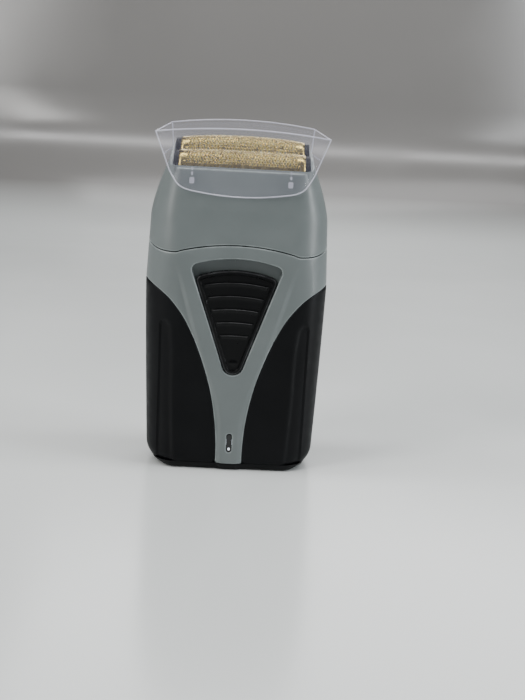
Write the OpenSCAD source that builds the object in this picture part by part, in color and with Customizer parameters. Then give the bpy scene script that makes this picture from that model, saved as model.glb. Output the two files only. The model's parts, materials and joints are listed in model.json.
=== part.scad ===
// Twin-foil shaver: lift-off head and cap, two counter-moving cutters, slide switch.
// Millimetres. Z is up, the front faces -Y, the origin is under the middle of the base.

/* [Body] */
// Width at the shoulders, the widest line
body_w = 60; // [58:1:78]
// Depth at the deepest line
body_d = 30; // [29:1:40]
// Width at the base
base_w = 57; // [54:1:76]
// Depth at the base
base_d = 26.5; // [25:0.5:38]
// Height of the widest line
shoulder_z = 62.7; // [60:0.1:66]
// Height of the deepest line
belly_z = 71; // [66:0.5:74]
// Radius of the upright corners
plan_r = 13; // [8:0.5:13.5]
// Radius of the two bottom corners in front view
base_corner_r = 7; // [4:0.5:9]
// Thickness of the plain shell walls
wall = 2.4; // [1.8:0.1:2.8]
// Thickness of the side grips, let into the shells
grip_t = 1.2; // [0.8:0.1:1.4]
// Thickness of the base cap
base_t = 2.4; // [2:0.1:4]

/* [Grip outline] */
// Half width of the grey stem between the grips at the base
stem_half = 4.45; // [3.5:0.05:7]
// Radius of the long lower sweep of the grip edge
sweep_r = 97; // [90:1:110]
// Height where the lower sweep becomes the shoulder sweep
sweep_z = 50; // [44:1:54]
// Radius of the shoulder sweep
shoulder_sweep_r = 30; // [26:1:34]

/* [Head] */
// Height of the seam between body and head at the middle of the front
seam_z = 76.5; // [75:0.5:80]
// How far the seam drops at its two low points
seam_dip = 2.9; // [1:0.1:4]
// Half distance between the two low points
seam_dip_x = 20.3; // [16:0.1:24]
// Gap between body and head along the seam
seam_gap = 0.3; // [0.2:0.05:0.6]
// Height where the sides start to round in
head_side_z = 86; // [83:1:90]
// Width where the sides start to round in
head_side_w = 57.8; // [55:0.1:76]
// Radius of the head's shoulders in front view
head_shoulder_r = 22.5; // [18:0.5:26]
// Height of the front edge of the rim
rim_z = 99.8; // [97:0.1:103]
// Width of the rim
rim_w = 46.6; // [46:0.1:56]
// Depth of the rim
rim_d = 24.8; // [24.6:0.1:30]
// Forward slope of the rim
rim_tilt = 18; // [10:1:20]
// Wall of the head
head_wall = 2.1; // [1.6:0.1:2.1]

/* [Foils] */
// Outer radius of each foil
foil_r = 5; // [4.5:0.05:5.1]
// Thickness of a foil
foil_t = 0.15; // [0.1:0.01:0.25]
// Length of a foil
foil_len = 40.4; // [36:0.2:42]
// Distance between the two foils
foil_pitch = 10.8; // [10.6:0.1:11.2]
// How far a foil's crown stands above the rim plane over its own centre
foil_stand = 3.2; // [2.4:0.1:4]
// Black end blocks beyond the foils
foil_end_w = 1.6; // [1:0.1:2.4]

/* [Cutters] */
// Gap between blades and foil
blade_gap = 0.15; // [0.1:0.01:0.3]
// Radial depth of a blade
blade_depth = 1.4; // [1:0.1:1.8]
// Thickness of a blade
blade_t = 0.25; // [0.2:0.05:0.4]
// Number of blades on a cutter
blade_count = 28; // [16:1:32]
// Distance from blade to blade
blade_pitch = 1.34; // [1:0.01:1.5]
// Travel of each cutter to either side
stroke = 1; // [0.6:0.1:1.1]
// How far a cutter can be pressed down
float_travel = 1; // [0.5:0.1:1.2]
// Radius of the drive posts
post_r = 1.5; // [1.2:0.1:1.6]
// Half distance between the two posts of a cutter
post_x = 8; // [7:0.5:10]
// Running gap round each post
post_fit = 0.05; // [0.02:0.01:0.09]

/* [Switch] */
// Half width of the recess between its upper corner centres
recess_half = 12.4; // [11:0.1:13.5]
// Height of the recess's upper corner centres
recess_top_z = 68.1; // [66:0.1:69]
// Radius of the upper corners
recess_corner_r = 2.1; // [1.5:0.1:2.6]
// Height of the recess's lowest point
recess_tip_z = 33.4; // [32:0.1:38]
// Radius of the lower tip
recess_tip_r = 3.5; // [3:0.1:4.5]
// Height of the arched upper edge at its middle
recess_arch_z = 72.1; // [71.5:0.1:72.5]
// Depth of the recess below the deepest line of the body
recess_depth = 3.6; // [3:0.1:3.8]
// Travel of the switch button
switch_travel = 3.5; // [2.5:0.1:3.6]
// Radius of the button's arched cross ridges
ridge_r = 50; // [30:1:80]
// Gap round the switch button
switch_gap = 0.35; // [0.25:0.05:0.5]
// Number of cross ridges
ridge_count = 5; // [3:1:6]
// Distance from ridge to ridge
ridge_pitch = 4.35; // [4:0.05:4.6]

/* [Motor and cell] */
// Radius of the motor can
motor_r = 10.2; // [9:0.1:10.4]
// Thickness of the motor across its flats
motor_flat = 15.4; // [14:0.1:15.6]
// Length of the motor can
motor_len = 32; // [28:0.5:34]
// Distance of the motor axis behind the middle
motor_y = 2; // [1.8:0.1:2.4]
// Radius of the motor shaft
shaft_r = 1; // [0.75:0.05:1.2]
// Radius of the rechargeable cell
cell_r = 7; // [6:0.1:7.2]
// Length of the rechargeable cell
cell_len = 50; // [44:0.5:50]
// Radius of the two cranks of the eccentric
crank_r = 2.4; // [2.2:0.1:2.6]

/* [Charging jack] */
// Bore radius of the jack
jack_r = 1.85; // [1.7:0.05:2.8]
// Radius of the jack's centre pin
jack_pin_r = 0.65; // [0.5:0.05:1]
// Depth of the jack's bore
jack_depth = 9; // [7:0.5:10]

/* [Protective cap] */
// Width at the upper corners
cap_top_w = 55; // [53:0.5:64]
// Width where the flaps start to round
cap_waist_w = 45.6; // [44:0.2:56]
// Height where the flaps start to round
cap_waist_z = 99; // [97:0.5:101]
// Height of the upper corners at the front
cap_corner_z = 110.9; // [110:0.1:114]
// Rise of the arched top
cap_arch = 1.8; // [1:0.1:2.4]
// Slope of the top
cap_tilt = 4.8; // [3:0.2:6]
// Height of the lowest point of the flaps
cap_low_z = 91.7; // [90:0.1:94]
// Radius of the flaps' lower edge
flap_r = 60; // [50:1:90]
// Radius of the flaps' lower corners
flap_corner_r = 6.5; // [4:0.1:7]
// Wall of the cap
cap_wall = 1.1; // [0.9:0.05:1.2]
// How much less deep the cap is than the body
cap_inset = 0.8; // [0.4:0.1:1]

/* [Fits] */
// Small assembly gap between pieces of the body
fit = 0.1; // [0.05:0.01:0.2]
// Gap between moving pieces that don't guide each other
clear = 0.3; // [0.2:0.05:0.5]
// Radius of the fixing screws
screw_r = 0.9; // [0.7:0.05:1.1]
// Depth of the slot across a screw's head
screw_slot = 0.5; // [0.3:0.05:0.6]

/* [Hidden] */

$fn = 64;
big = 400;
eps = 0.01;

shell_grey = [0.44, 0.47, 0.47];
grip_black = [0.07, 0.08, 0.09];
part_black = [0.1, 0.1, 0.11];
steel = [0.72, 0.73, 0.75];
gold = [0.83, 0.68, 0.35];
brass = [0.8, 0.65, 0.3];
board_green = [0.08, 0.35, 0.2];
rubber = [0.2, 0.2, 0.22];
slide_white = [0.85, 0.86, 0.84];
lead_red = [0.7, 0.1, 0.1];
lead_black = [0.1, 0.1, 0.1];

// Heights inside the body, from the head down.
deck_drop = 1.6;
deck_top = seam_z - seam_dip - deck_drop;
deck_t = 2;
deck_collar_h = 6;
deck_collar_t = 1.2;
collar_inset = wall + fit;
deck_z = deck_top - deck_t;
motor_top = deck_z;
motor_bottom = motor_top - motor_len;
end_cap_t = 3.5;
end_cap_z = motor_bottom - end_cap_t;

// The rim plane slopes up to the rear through the front edge of the rim.
function rim_at(y) = rim_z + (y + rim_d / 2) * tan(rim_tilt);
foil_y = foil_pitch / 2;
front_foil_z = rim_at(-foil_y) + foil_stand - foil_r;
rear_foil_z = rim_at(foil_y) + foil_stand - foil_r;
blade_r = foil_r - foil_t - blade_gap;
frame_gap = 0.05;
frame_wall = 0.85;
frame_recess = 0.3;
opening_half_y = foil_y + foil_r + frame_gap;
seat_half_y = opening_half_y + frame_wall;
seat_half_x = foil_len / 2 + foil_end_w;
frame_depth = 4;
ledge_t = 1.6;
cutter_half = (blade_count - 1) * blade_pitch / 2 + blade_t / 2;

// Chamfer along the front and rear of the base, and the upright band at the deepest line.
base_chamfer_y = 1.2;
base_chamfer_z = 1.6;
belly_h = 3;

// Outline of a rounded rectangle centred on the origin.
module rounded_rect(w, d, r) {
    square([w - 2 * r, d], center = true);
    square([w, d - 2 * r], center = true);
    for (sx = [-1, 1], sy = [-1, 1])
        translate([sx * (w / 2 - r), sy * (d / 2 - r)])
            circle(r);
}

// Front view of body and head together, drawn in by the inset.
module front_outline(inset) {
    side = head_side_w / 2;
    corner = base_corner_r;
    slope = (body_w - base_w) / 2 / shoulder_z;
    intersection() {
        union() {
            square([base_w - 2 * corner, 2 * corner + 2 * inset], center = true);
            for (s = [-1, 1])
                translate([s * (base_w / 2 - corner), corner])
                    circle(corner - inset);
            polygon([
                [-base_w / 2 + inset - slope * corner, corner],
                [base_w / 2 - inset + slope * corner, corner],
                [body_w / 2 - inset, shoulder_z],
                [side - inset, head_side_z],
                [-side + inset, head_side_z],
                [-body_w / 2 + inset, shoulder_z]
            ]);
            for (s = [-1, 1])
                translate([s * (side - head_shoulder_r), head_side_z])
                    circle(head_shoulder_r - inset);
            translate([-rim_w / 2 + inset, head_side_z])
                square([rim_w - 2 * inset, big]);
        }
        translate([-big / 2, inset])
            square([big, big]);
    }
}

// Side view of body and head together, drawn in by the inset.
module side_outline(inset) {
    b = base_d / 2 - inset;
    m = body_d / 2 - inset;
    t = rim_d / 2 - inset;
    polygon([
        [-b + base_chamfer_y, inset], [b - base_chamfer_y, inset], [b, inset + base_chamfer_z],
        [m, belly_z], [m, belly_z + belly_h], [t, rim_z], [t, big],
        [-t, big], [-t, rim_z], [-m, belly_z + belly_h], [-m, belly_z], [-b, inset + base_chamfer_z]
    ]);
}

// Body and head as one solid, all its faces moved in by the inset.
module form(inset) {
    intersection() {
        linear_extrude(big)
            rounded_rect(body_w - 2 * inset, body_d - 2 * inset, plan_r - inset);
        rotate([90, 0, 0])
            linear_extrude(big, center = true)
                front_outline(inset);
        rotate([90, 0, 90])
            linear_extrude(big, center = true)
                side_outline(inset);
    }
}

// Everything under the wavy seam; the shift moves the seam up or down.
module under_seam(shift) {
    seam_r = (seam_dip_x * seam_dip_x + seam_dip * seam_dip) / (2 * seam_dip);
    low = seam_z - seam_dip + shift;
    rise = 1.8;
    rotate([90, 0, 0])
        linear_extrude(big, center = true) {
            polygon([
                [-big, 0], [big, 0], [big, low + rise],
                [body_w / 2, low + rise], [seam_dip_x, low],
                [-seam_dip_x, low], [-body_w / 2, low + rise], [-big, low + rise]
            ]);
            intersection() {
                translate([0, seam_z + shift - seam_r])
                    circle(seam_r, $fn = 128);
                translate([-seam_dip_x, low - 1])
                    square([2 * seam_dip_x, big]);
            }
        }
}

// Everything below the rim plane moved down by the drop.
module under_rim(drop) {
    rotate([90, 0, 90])
        linear_extrude(big, center = true)
            polygon([
                [-big / 4, -big], [big, -big],
                [big, rim_at(big) - drop], [-big / 4, rim_at(-big / 4) - drop]
            ]);
}

// One grip's outline in front view: a long sweep that tightens towards the shoulder.
module grip_outline() {
    cx = stem_half + sweep_r;
    cz = 5;
    meet_x = cx - sqrt(sweep_r * sweep_r - (sweep_z - cz) * (sweep_z - cz));
    ux = (cx - meet_x) / sweep_r;
    uz = (cz - sweep_z) / sweep_r;
    intersection() {
        translate([cx, cz])
            circle(sweep_r, $fn = 128);
        translate([0, cz])
            square([big, sweep_z - cz]);
    }
    intersection() {
        translate([meet_x + shoulder_sweep_r * ux, sweep_z + shoulder_sweep_r * uz])
            circle(shoulder_sweep_r, $fn = 128);
        translate([0, sweep_z])
            square([big, big]);
    }
    translate([stem_half, 0])
        square([big, cz]);
}

module grip_zone(side) {
    mirror([side < 0 ? 1 : 0, 0, 0])
        rotate([90, 0, 0])
            linear_extrude(big, center = true)
                grip_outline();
}

// The skin that the two grips share, above the base cap.
module grip_skin() {
    difference() {
        form(0);
        form(grip_t);
        linear_extrude(base_t)
            square(big, center = true);
    }
}

module half_space(side) {
    translate([-big / 2, side < 0 ? -big : 0, 0])
        cube([big, big, big]);
}

// Points on an arc round [x, z], anticlockwise from one angle to the other.
function arc_points(x, z, r, from, to, steps) =
    [for (i = [0 : steps]) let (a = from + (to - from) * i / steps) [x + r * cos(a), z + r * sin(a)]];

// The recess in front view: a rounded tip, two rounded upper corners and an arched top that
// runs into them. A positive inset and a lowered top make the button that sits in it.
module recess_outline(inset, lower_top) {
    tip_r = recess_tip_r - inset;
    tip_z = recess_tip_z + recess_tip_r;
    corner_r = recess_corner_r - inset;
    top_z = recess_top_z - lower_top;
    side_run = recess_half / (recess_top_z - recess_tip_z);
    half = recess_half - lower_top * side_run;
    rise = recess_arch_z - recess_top_z - inset;
    arch_r = (half * half + rise * rise - corner_r * corner_r) / (2 * (rise - corner_r));
    arch_z = top_z + rise - arch_r;
    side_turn = atan2(top_z - tip_z, half) - acos((tip_r - corner_r) / norm([half, top_z - tip_z]));
    arch_turn = atan2(top_z - arch_z, half);
    polygon(concat(
        arc_points(0, tip_z, tip_r, -180 - side_turn, side_turn, 12),
        arc_points(half, top_z, corner_r, side_turn, arch_turn, 8),
        arc_points(0, arch_z, arch_r, arch_turn, 180 - arch_turn, 14),
        arc_points(-half, top_z, corner_r, 180 - arch_turn, 180 - side_turn, 8)
    ));
}

module front_prism(y_from, y_to) {
    translate([0, y_to, 0])
        rotate([90, 0, 0])
            linear_extrude(y_to - y_from)
                children();
}

module ring(outer, inner, z0, z1) {
    translate([0, 0, z0])
        difference() {
            cylinder(r = outer, h = z1 - z0);
            translate([0, 0, -1])
                cylinder(r = inner, h = z1 - z0 + 2);
        }
}

module box(x0, x1, y0, y1, z0, z1) {
    translate([x0, y0, z0])
        cube([x1 - x0, y1 - y0, z1 - z0]);
}

// A lead that runs through the points, round at each bend.
module lead(points, r) {
    for (i = [0 : len(points) - 2])
        hull()
            for (p = [points[i], points[i + 1]])
                translate(p)
                    sphere(r, $fn = 12);
}

/* Switch depths, measured from the middle plane towards the front */
floor_y = -body_d / 2 + recess_depth;
floor_t = 1.2;
floor_back = floor_y + floor_t;
neck_half_x = 2.2;
neck_above_tip = 13;
neck_len = 5;
neck_low = recess_tip_z + neck_above_tip;
neck_high = neck_low + neck_len;
slider_t = 0.9;
neck_seat = 0.4;
slider_front = floor_back + fit;
slider_back = slider_front + slider_t;
board_t = 1;
board_gap = 0.6;
board_back = motor_y - motor_flat / 2 - board_gap;
board_front = board_back - board_t;
lens_z = 9.75;
lens_w = 1.7;
lens_h = 6.4;
lens_recess = 0.15;
led_h = 1.6;
led_t = 1.2;
led_low = lens_z - 2.2;

module lens_slot() {
    front_prism(-body_d, board_front - led_t - 0.2) {
        translate([0, lens_z])
            square([lens_w, lens_h - lens_w], center = true);
        for (s = [-1, 1])
            translate([0, lens_z + s * (lens_h - lens_w) / 2])
                circle(lens_w / 2, $fn = 32);
    }
}

// Places of the screws, and the bosses that the shell screws turn into.
screw_head_t = 1;
boss_r = 2.6;
boss_behind = 1.2;
cap_d = body_d - cap_inset;
shell_screw_x = body_w / 2 - 10;
shell_screw_z = deck_z - 4.2;
shell_screw_seat = body_d / 2 - 1.4;
shell_screw_l = shell_screw_seat + 3.4;
base_screw_x = base_w / 2 - 11;
base_screw_l = 4.5;
base_screw_head = 0.8;
// The deck screws' heads keep clear of the collar
deck_screw_edge = 10.3;
deck_screw_y = 2 * screw_r - deck_screw_edge;
deck_screw_l = 5.6;
motor_screw_x = 6;
motor_screw_l = 3;

module shell_bosses() {
    for (s = [-1, 1])
        translate([s * shell_screw_x, 0, shell_screw_z])
            rotate([90, 0, 0])
                translate([0, 0, -boss_behind])
                    cylinder(r = boss_r, h = body_d);
}

module front_shell() {
    color(shell_grey)
        difference() {
            intersection() {
                union() {
                    difference() {
                        form(0);
                        form(wall);
                    }
                    intersection() {
                        form(eps);
                        union() {
                            shell_bosses();
                            front_prism(-body_d, floor_back)
                                recess_outline(-floor_t, 0);
                        }
                    }
                }
                half_space(-1);
                under_seam(-seam_gap);
            }
            for (s = [-1, 1])
                intersection() {
                    grip_skin();
                    grip_zone(s);
                }
            linear_extrude(base_t)
                square(big, center = true);
            front_prism(-body_d, floor_y)
                recess_outline(0, 0);
            box(-neck_half_x - fit, neck_half_x + fit, floor_y - 1, floor_back + 1,
                neck_low - fit, neck_high + switch_travel + fit);
            lens_slot();
            for (s = [-1, 1])
                translate([s * shell_screw_x, 0, shell_screw_z])
                    rotate([90, 0, 0])
                        translate([0, 0, -boss_behind - 1])
                            cylinder(r = screw_r, h = shell_screw_l - shell_screw_seat + boss_behind + 4);
            for (s = [-1, 1])
                translate([s * shell_screw_x, deck_screw_y, deck_top - deck_screw_l])
                    cylinder(r = screw_r, h = deck_screw_l);
        }
}

module rear_shell() {
    color(shell_grey)
        difference() {
            intersection() {
                difference() {
                    form(0);
                    form(wall);
                }
                half_space(1);
                under_seam(-seam_gap);
            }
            for (s = [-1, 1])
                intersection() {
                    grip_skin();
                    grip_zone(s);
                }
            linear_extrude(base_t)
                square(big, center = true);
            for (s = [-1, 1])
                translate([s * shell_screw_x, 0, shell_screw_z])
                    rotate([-90, 0, 0]) {
                        cylinder(r = screw_r + fit, h = body_d);
                        translate([0, 0, shell_screw_seat])
                            cylinder(r = 2 * screw_r + fit, h = body_d);
                    }
        }
}

module grip(side) {
    color(grip_black)
        intersection() {
            grip_skin();
            grip_zone(side);
        }
}

module left_grip() { grip(-1); }
module right_grip() { grip(1); }

// The jack's nose passes through the base cap and its pin is held in the jack's roof.
jack_y = motor_y;
jack_half = jack_r + 1.6;
jack_top = jack_depth + 3;
jack_nose_r = jack_r + 0.6;
jack_nose_z = 0.4;
jack_pin_z = 1.2;
jack_root_r = jack_pin_r + 0.35;
jack_root_h = 2;
base_screw_seat = 1;

module base_cap() {
    color(part_black)
        difference() {
            intersection() {
                form(0);
                linear_extrude(base_t)
                    square(big, center = true);
            }
            translate([0, jack_y, -1])
                cylinder(r = jack_nose_r, h = base_t + 2);
            for (s = [-1, 1])
                translate([s * base_screw_x, 0, -1]) {
                    cylinder(r = screw_r + fit, h = base_t + 2);
                    cylinder(r = 2 * screw_r + fit, h = base_screw_seat + 1);
                }
        }
}

module indicator_lens() {
    color([0.1, 0.1, 0.1])
        intersection() {
            form(lens_recess);
            lens_slot();
        }
}

cell_x = -(motor_r + 1.3 + cell_r);
cell_z = 13;

module at_cell(z) {
    translate([cell_x, motor_y, z])
        children();
}

// Moulded tray behind the motor with two cradles for the cell, feet for the base screws and
// arms that hold the board.
tray_front = motor_y + motor_flat / 2 + fit;
tray_t = 1.5;
tray_top = deck_z - fit - 7;
cradle_w = 4;
cradle_t = 1.4;
foot_half = 3;
foot_z1 = 7;
arm_x = motor_r + 0.2;
arm_w = 1.6;
arm_z = base_t + 5;
arm_h = 3.5;

module chassis() {
    tray_half = body_w / 2 - 9;
    color(part_black)
        difference() {
            intersection() {
                form(wall + fit);
                union() {
                    box(-tray_half, tray_half, tray_front, tray_front + tray_t, base_t, tray_top);
                    for (z = [cell_z + cradle_w, cell_z + cell_len - 2.5 * cradle_w])
                        box(cell_x - cell_r - cradle_t, cell_x + cell_r, motor_y + 1, tray_front + 1,
                            z, z + cradle_w);
                    for (s = [-1, 1]) {
                        foot_x = s * base_screw_x;
                        box(foot_x - foot_half, foot_x + foot_half, -foot_half, tray_front + 1,
                            base_t, foot_z1);
                        arm_mid = s * (arm_x + arm_w / 2);
                        box(arm_mid - arm_w / 2, arm_mid + arm_w / 2, board_back, tray_front + 1,
                            arm_z, arm_z + arm_h);
                    }
                }
            }
            at_cell(cell_z)
                cylinder(r = cell_r + fit, h = cell_len);
            for (s = [-1, 1])
                translate([s * base_screw_x, 0, 0])
                    cylinder(r = screw_r, h = base_screw_seat + base_screw_l + 0.5);
        }
}

// The two slides that carry the cutters. The lower one runs in rails on the deck, the upper
// one stands over it on two feet. Each has a slot that its crank turns freely in.
slot_half_x = crank_r + 2 * stroke + clear;
slot_half_y = crank_r + stroke + clear;
slide_t = 2.2;
slide_rim = 1.6;
low_slide_half = 10.5;
low_slide_z = deck_top + 3.6;
low_front = -foil_y - post_r - slide_rim;
low_rear = motor_y + slot_half_y + slide_rim;
up_slide_z = low_slide_z + slide_t + 1.6;
up_front = motor_y - slot_half_y - slide_rim;
up_rear = foil_y + post_r + slide_rim;
up_slide_half = 17;
foot_in = 13.4;
foot_w = 3;
foot_z = deck_top + fit;
rail_w = 1.2;
rail_end = 2;
ledge_in = 1;

module drive_deck() {
    rail_half = low_slide_half - rail_end;
    color(part_black)
        difference() {
            union() {
                intersection() {
                    form(collar_inset);
                    translate([0, 0, deck_z])
                        linear_extrude(deck_t)
                            square(big, center = true);
                }
                difference() {
                    intersection() {
                        form(collar_inset);
                        translate([0, 0, deck_z])
                            linear_extrude(deck_t + deck_collar_h)
                                square(big, center = true);
                    }
                    form(collar_inset + deck_collar_t);
                }
                for (y = [low_front - fit - rail_w, low_rear + fit])
                    box(-rail_half, rail_half, y, y + rail_w, deck_top - eps, low_slide_z + slide_t);
                for (y = [low_front - fit, low_rear - ledge_in])
                    box(-rail_half, rail_half, y, y + ledge_in + fit, deck_top - eps, low_slide_z - fit);
                for (s = [-1, 1], y = [up_front - fit - rail_w, up_rear + fit]) {
                    mid = s * (foot_in + foot_w / 2);
                    box(mid - foot_w, mid + foot_w, y, y + rail_w, deck_top - eps, up_slide_z - 1);
                }
            }
            translate([0, motor_y, deck_z - 1])
                cylinder(r = shaft_seal_r, h = deck_t + 2);
            for (s = [-1, 1]) {
                translate([s * motor_screw_x, motor_y, deck_z - 1])
                    cylinder(r = screw_r + fit, h = deck_t + 2);
                translate([s * shell_screw_x, deck_screw_y, deck_z - 1])
                    cylinder(r = screw_r + fit, h = deck_t + 2);
            }
            front_prism(-body_d, floor_back + fit)
                recess_outline(-floor_t - fit, 0);
            seal_groove();
        }
}

// The seal lies in a groove round the collar, just above the shells.
seal_z = seam_z + 0.6;
seal_h = 1.2;
seal_out = 0.2;
seal_in = 0.5;
module seal_groove() {
    intersection() {
        translate([0, 0, seal_z])
            linear_extrude(seal_h)
                square(big, center = true);
        difference() {
            form(collar_inset - seal_out);
            form(collar_inset + seal_in);
        }
    }
}

module deck_seal() {
    color(rubber)
        seal_groove();
}

module shaft_seal() {
    color(rubber)
        translate([0, motor_y, 0]) {
            ring(shaft_seal_r, shaft_r + fit, deck_z, deck_top);
            ring(shaft_seal_r + 0.6, shaft_r + fit, deck_top, deck_top + 0.5);
        }
}

// A cross-slotted screw that points down, its head standing on the XY plane.
module cap_screw(l, head_h) {
    slot_len = 2.8 * screw_r;
    slot_w = 0.4;
    translate([0, 0, -l])
        cylinder(r = screw_r, h = l);
    difference() {
        cylinder(r = 2 * screw_r, h = head_h);
        for (a = [0, 90])
            rotate([0, 0, a])
                translate([-slot_len / 2, -slot_w / 2, head_h - screw_slot])
                    cube([slot_len, slot_w, 1]);
    }
}

module deck_screws() {
    color(steel)
        for (s = [-1, 1])
            translate([s * shell_screw_x, deck_screw_y, deck_top])
                cap_screw(deck_screw_l, screw_head_t);
}

module shell_screws() {
    color(steel)
        for (s = [-1, 1])
            translate([s * shell_screw_x, shell_screw_seat, shell_screw_z])
                rotate([-90, 0, 0])
                    cap_screw(shell_screw_l, screw_head_t);
}

module base_screws() {
    color(steel)
        for (s = [-1, 1])
            translate([s * base_screw_x, 0, base_screw_seat])
                mirror([0, 0, 1])
                    cap_screw(base_screw_l, base_screw_head);
}

// Motor: a can with two flats, bearings of one size at both ends and a moulded end cap.
can_t = 0.8;
bearing_r = 2.2;
bearing_fit = 0.03;
top_bearing_l = 3;
low_bearing_l = 2.4;
bearing_seat_z = end_cap_t - low_bearing_l;
shaft_below = 2;
terminal_x = 6;
terminal_half = 1;
terminal_t = 0.4;
terminal_below = 3;
magnet_in = motor_flat / 2 - can_t - 0.2;
magnet_end = 5;
shaft_seal_r = 3;

module motor_profile(r, flat) {
    intersection() {
        circle(r);
        square([2 * r, flat], center = true);
    }
}

module motor_can() {
    color(steel)
        translate([0, motor_y, motor_bottom])
            difference() {
                linear_extrude(motor_len)
                    motor_profile(motor_r, motor_flat);
                translate([0, 0, -1])
                    linear_extrude(motor_len + 1 - can_t)
                        motor_profile(motor_r - can_t, motor_flat - 2 * can_t);
                cylinder(r = bearing_r, h = motor_len + 1);
                for (s = [-1, 1])
                    translate([s * motor_screw_x, 0, motor_len - 2])
                        cylinder(r = screw_r, h = 4);
            }
}

module motor_magnets() {
    color([0.25, 0.25, 0.27])
        translate([0, motor_y, motor_bottom + magnet_end])
            for (s = [-1, 1])
                linear_extrude(motor_len - 2 * magnet_end)
                    intersection() {
                        difference() {
                            circle(motor_r - can_t);
                            circle(magnet_in);
                        }
                        translate([s * motor_r, 0])
                            square([motor_r, motor_flat - 2 * can_t - 2], center = true);
                    }
}

module motor_bearings() {
    color(brass)
        translate([0, motor_y, 0]) {
            ring(bearing_r, shaft_r + bearing_fit, motor_top - top_bearing_l, motor_top);
            ring(bearing_r, shaft_r + bearing_fit, motor_bottom - low_bearing_l, motor_bottom);
        }
}

module motor_end_cap() {
    color(part_black)
        translate([0, motor_y, end_cap_z])
            difference() {
                union() {
                    linear_extrude(end_cap_t)
                        motor_profile(motor_r, motor_flat);
                    translate([0, 0, end_cap_t])
                        linear_extrude(1)
                            motor_profile(motor_r - can_t - fit / 2, motor_flat - 2 * can_t - fit);
                }
                translate([0, 0, bearing_seat_z])
                    cylinder(r = bearing_r, h = end_cap_t + 1);
                for (s = [-1, 1])
                    translate([s * terminal_x, 0, end_cap_t / 2])
                        cube([2 * terminal_half + fit, terminal_t + fit, 2 * end_cap_t], center = true);
            }
}

module motor_terminals() {
    color(brass)
        translate([0, motor_y, 0])
            for (s = [-1, 1])
                translate([s * terminal_x - terminal_half, -terminal_t / 2, end_cap_z - terminal_below])
                    cube([2 * terminal_half, terminal_t, terminal_below + end_cap_t]);
}

module motor_screws() {
    color(steel)
        for (s = [-1, 1])
            translate([s * motor_screw_x, motor_y, deck_top])
                cap_screw(motor_screw_l, screw_head_t);
}

crank_low_z = low_slide_z - 0.4;
crank_up_z = up_slide_z - 0.6;
crank_top = up_slide_z + slide_t + 0.6;
shaft_top = crank_top - 0.8;
hub_r = 2.2;
hub_z = deck_top + 0.9;

module motor_shaft() {
    color(steel)
        translate([0, motor_y, motor_bottom - shaft_below])
            cylinder(r = shaft_r, h = shaft_top - motor_bottom + shaft_below);
}

// Laminated three-pole core with its commutator.
module motor_armature() {
    core_r = magnet_in - 0.5;
    core_end = magnet_end + 1;
    hub = 2.4;
    pole_w = 2.4;
    shoe_t = 1.6;
    commutator_z = 1.2;
    color([0.6, 0.4, 0.25])
        translate([0, motor_y, motor_bottom]) {
            translate([0, 0, core_end])
                linear_extrude(motor_len - 2 * core_end)
                    difference() {
                        union() {
                            circle(hub);
                            for (a = [0, 120, 240])
                                rotate(a) {
                                    translate([0, -pole_w / 2])
                                        square([core_r - shoe_t / 2, pole_w]);
                                    intersection() {
                                        difference() {
                                            circle(core_r);
                                            circle(core_r - shoe_t);
                                        }
                                        polygon([[0, 0], [motor_r, -motor_r], [motor_r, motor_r]]);
                                    }
                                }
                        }
                        circle(shaft_r);
                    }
            ring(hub, shaft_r, commutator_z, core_end);
        }
}

module eccentric() {
    color([0.85, 0.85, 0.83])
        translate([0, motor_y, 0])
            difference() {
                union() {
                    translate([0, 0, hub_z])
                        cylinder(r = hub_r, h = crank_low_z - hub_z);
                    translate([stroke, 0, crank_low_z])
                        cylinder(r = crank_r, h = crank_up_z - crank_low_z);
                    translate([-stroke, 0, crank_up_z])
                        cylinder(r = crank_r, h = crank_top - crank_up_z);
                }
                translate([0, 0, deck_top])
                    cylinder(r = shaft_r, h = shaft_top - deck_top);
            }
}

tip_h = 1;
tip_r = 2.8;
module battery_cell() {
    color([0.15, 0.35, 0.6])
        at_cell(cell_z) {
            cylinder(r = cell_r, h = cell_len - tip_h);
            translate([0, 0, cell_len - tip_h])
                cylinder(r = tip_r, h = tip_h);
        }
}

// Welded tabs across the two ends of the cell, which stand out past it towards the motor.
tab_t = 0.3;
tab_half = 2;
tab_out = 1;
module battery_tabs() {
    color(steel)
        for (z = [cell_z - tab_t, cell_z + cell_len])
            box(cell_x - tab_half, cell_x + cell_r + tab_out, motor_y - tab_half, motor_y + tab_half,
                z, z + tab_t);
}

board_low = 5;
board_high = end_cap_z + 24;
board_half = 9;
board_hole_r = 0.8;
chip_t = 0.8;
// The chips on the board, each as the place of its middle, its width and its height.
chips = [[-5, 30, 3.4, 3.4], [4, 24, 2, 3], [5, 33, 1.6, 2.4], [-5, 22, 2.4, 1.6], [4.5, 38, 2.6, 1.6]];
module circuit_board() {
    color(board_green)
        difference() {
            box(-board_half, board_half, board_front, board_back, board_low, board_high);
            for (s = [-1, 1])
                translate([s * (board_half - 2 * board_hole_r), board_front - 1, board_high - 2])
                    rotate([-90, 0, 0])
                        cylinder(r = board_hole_r, h = board_t + 2);
        }
    color(part_black)
        for (c = chips)
            translate([c[0] - c[2] / 2, board_front - chip_t, c[1] - c[3] / 2])
                cube([c[2], chip_t, c[3]]);
}

// The slide switch stands on the board and its lever reaches into the slider.
lever_half = 0.9;
lever_z = (neck_low + neck_high) / 2;
switch_body_front = slider_back + fit;
switch_body_half = 4.2;
switch_body_end = 2.5;
slider_half = 5;
slider_end = 4;
module slide_switch() {
    color(steel)
        difference() {
            box(-switch_body_half, switch_body_half, switch_body_front, board_front,
                neck_low - switch_body_end, neck_high + switch_travel + switch_body_end);
            box(-lever_half - fit, lever_half + fit, switch_body_front - 1, board_front - 0.2,
                lever_z - lever_half - fit, lever_z + lever_half + switch_travel + fit);
        }
}

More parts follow.
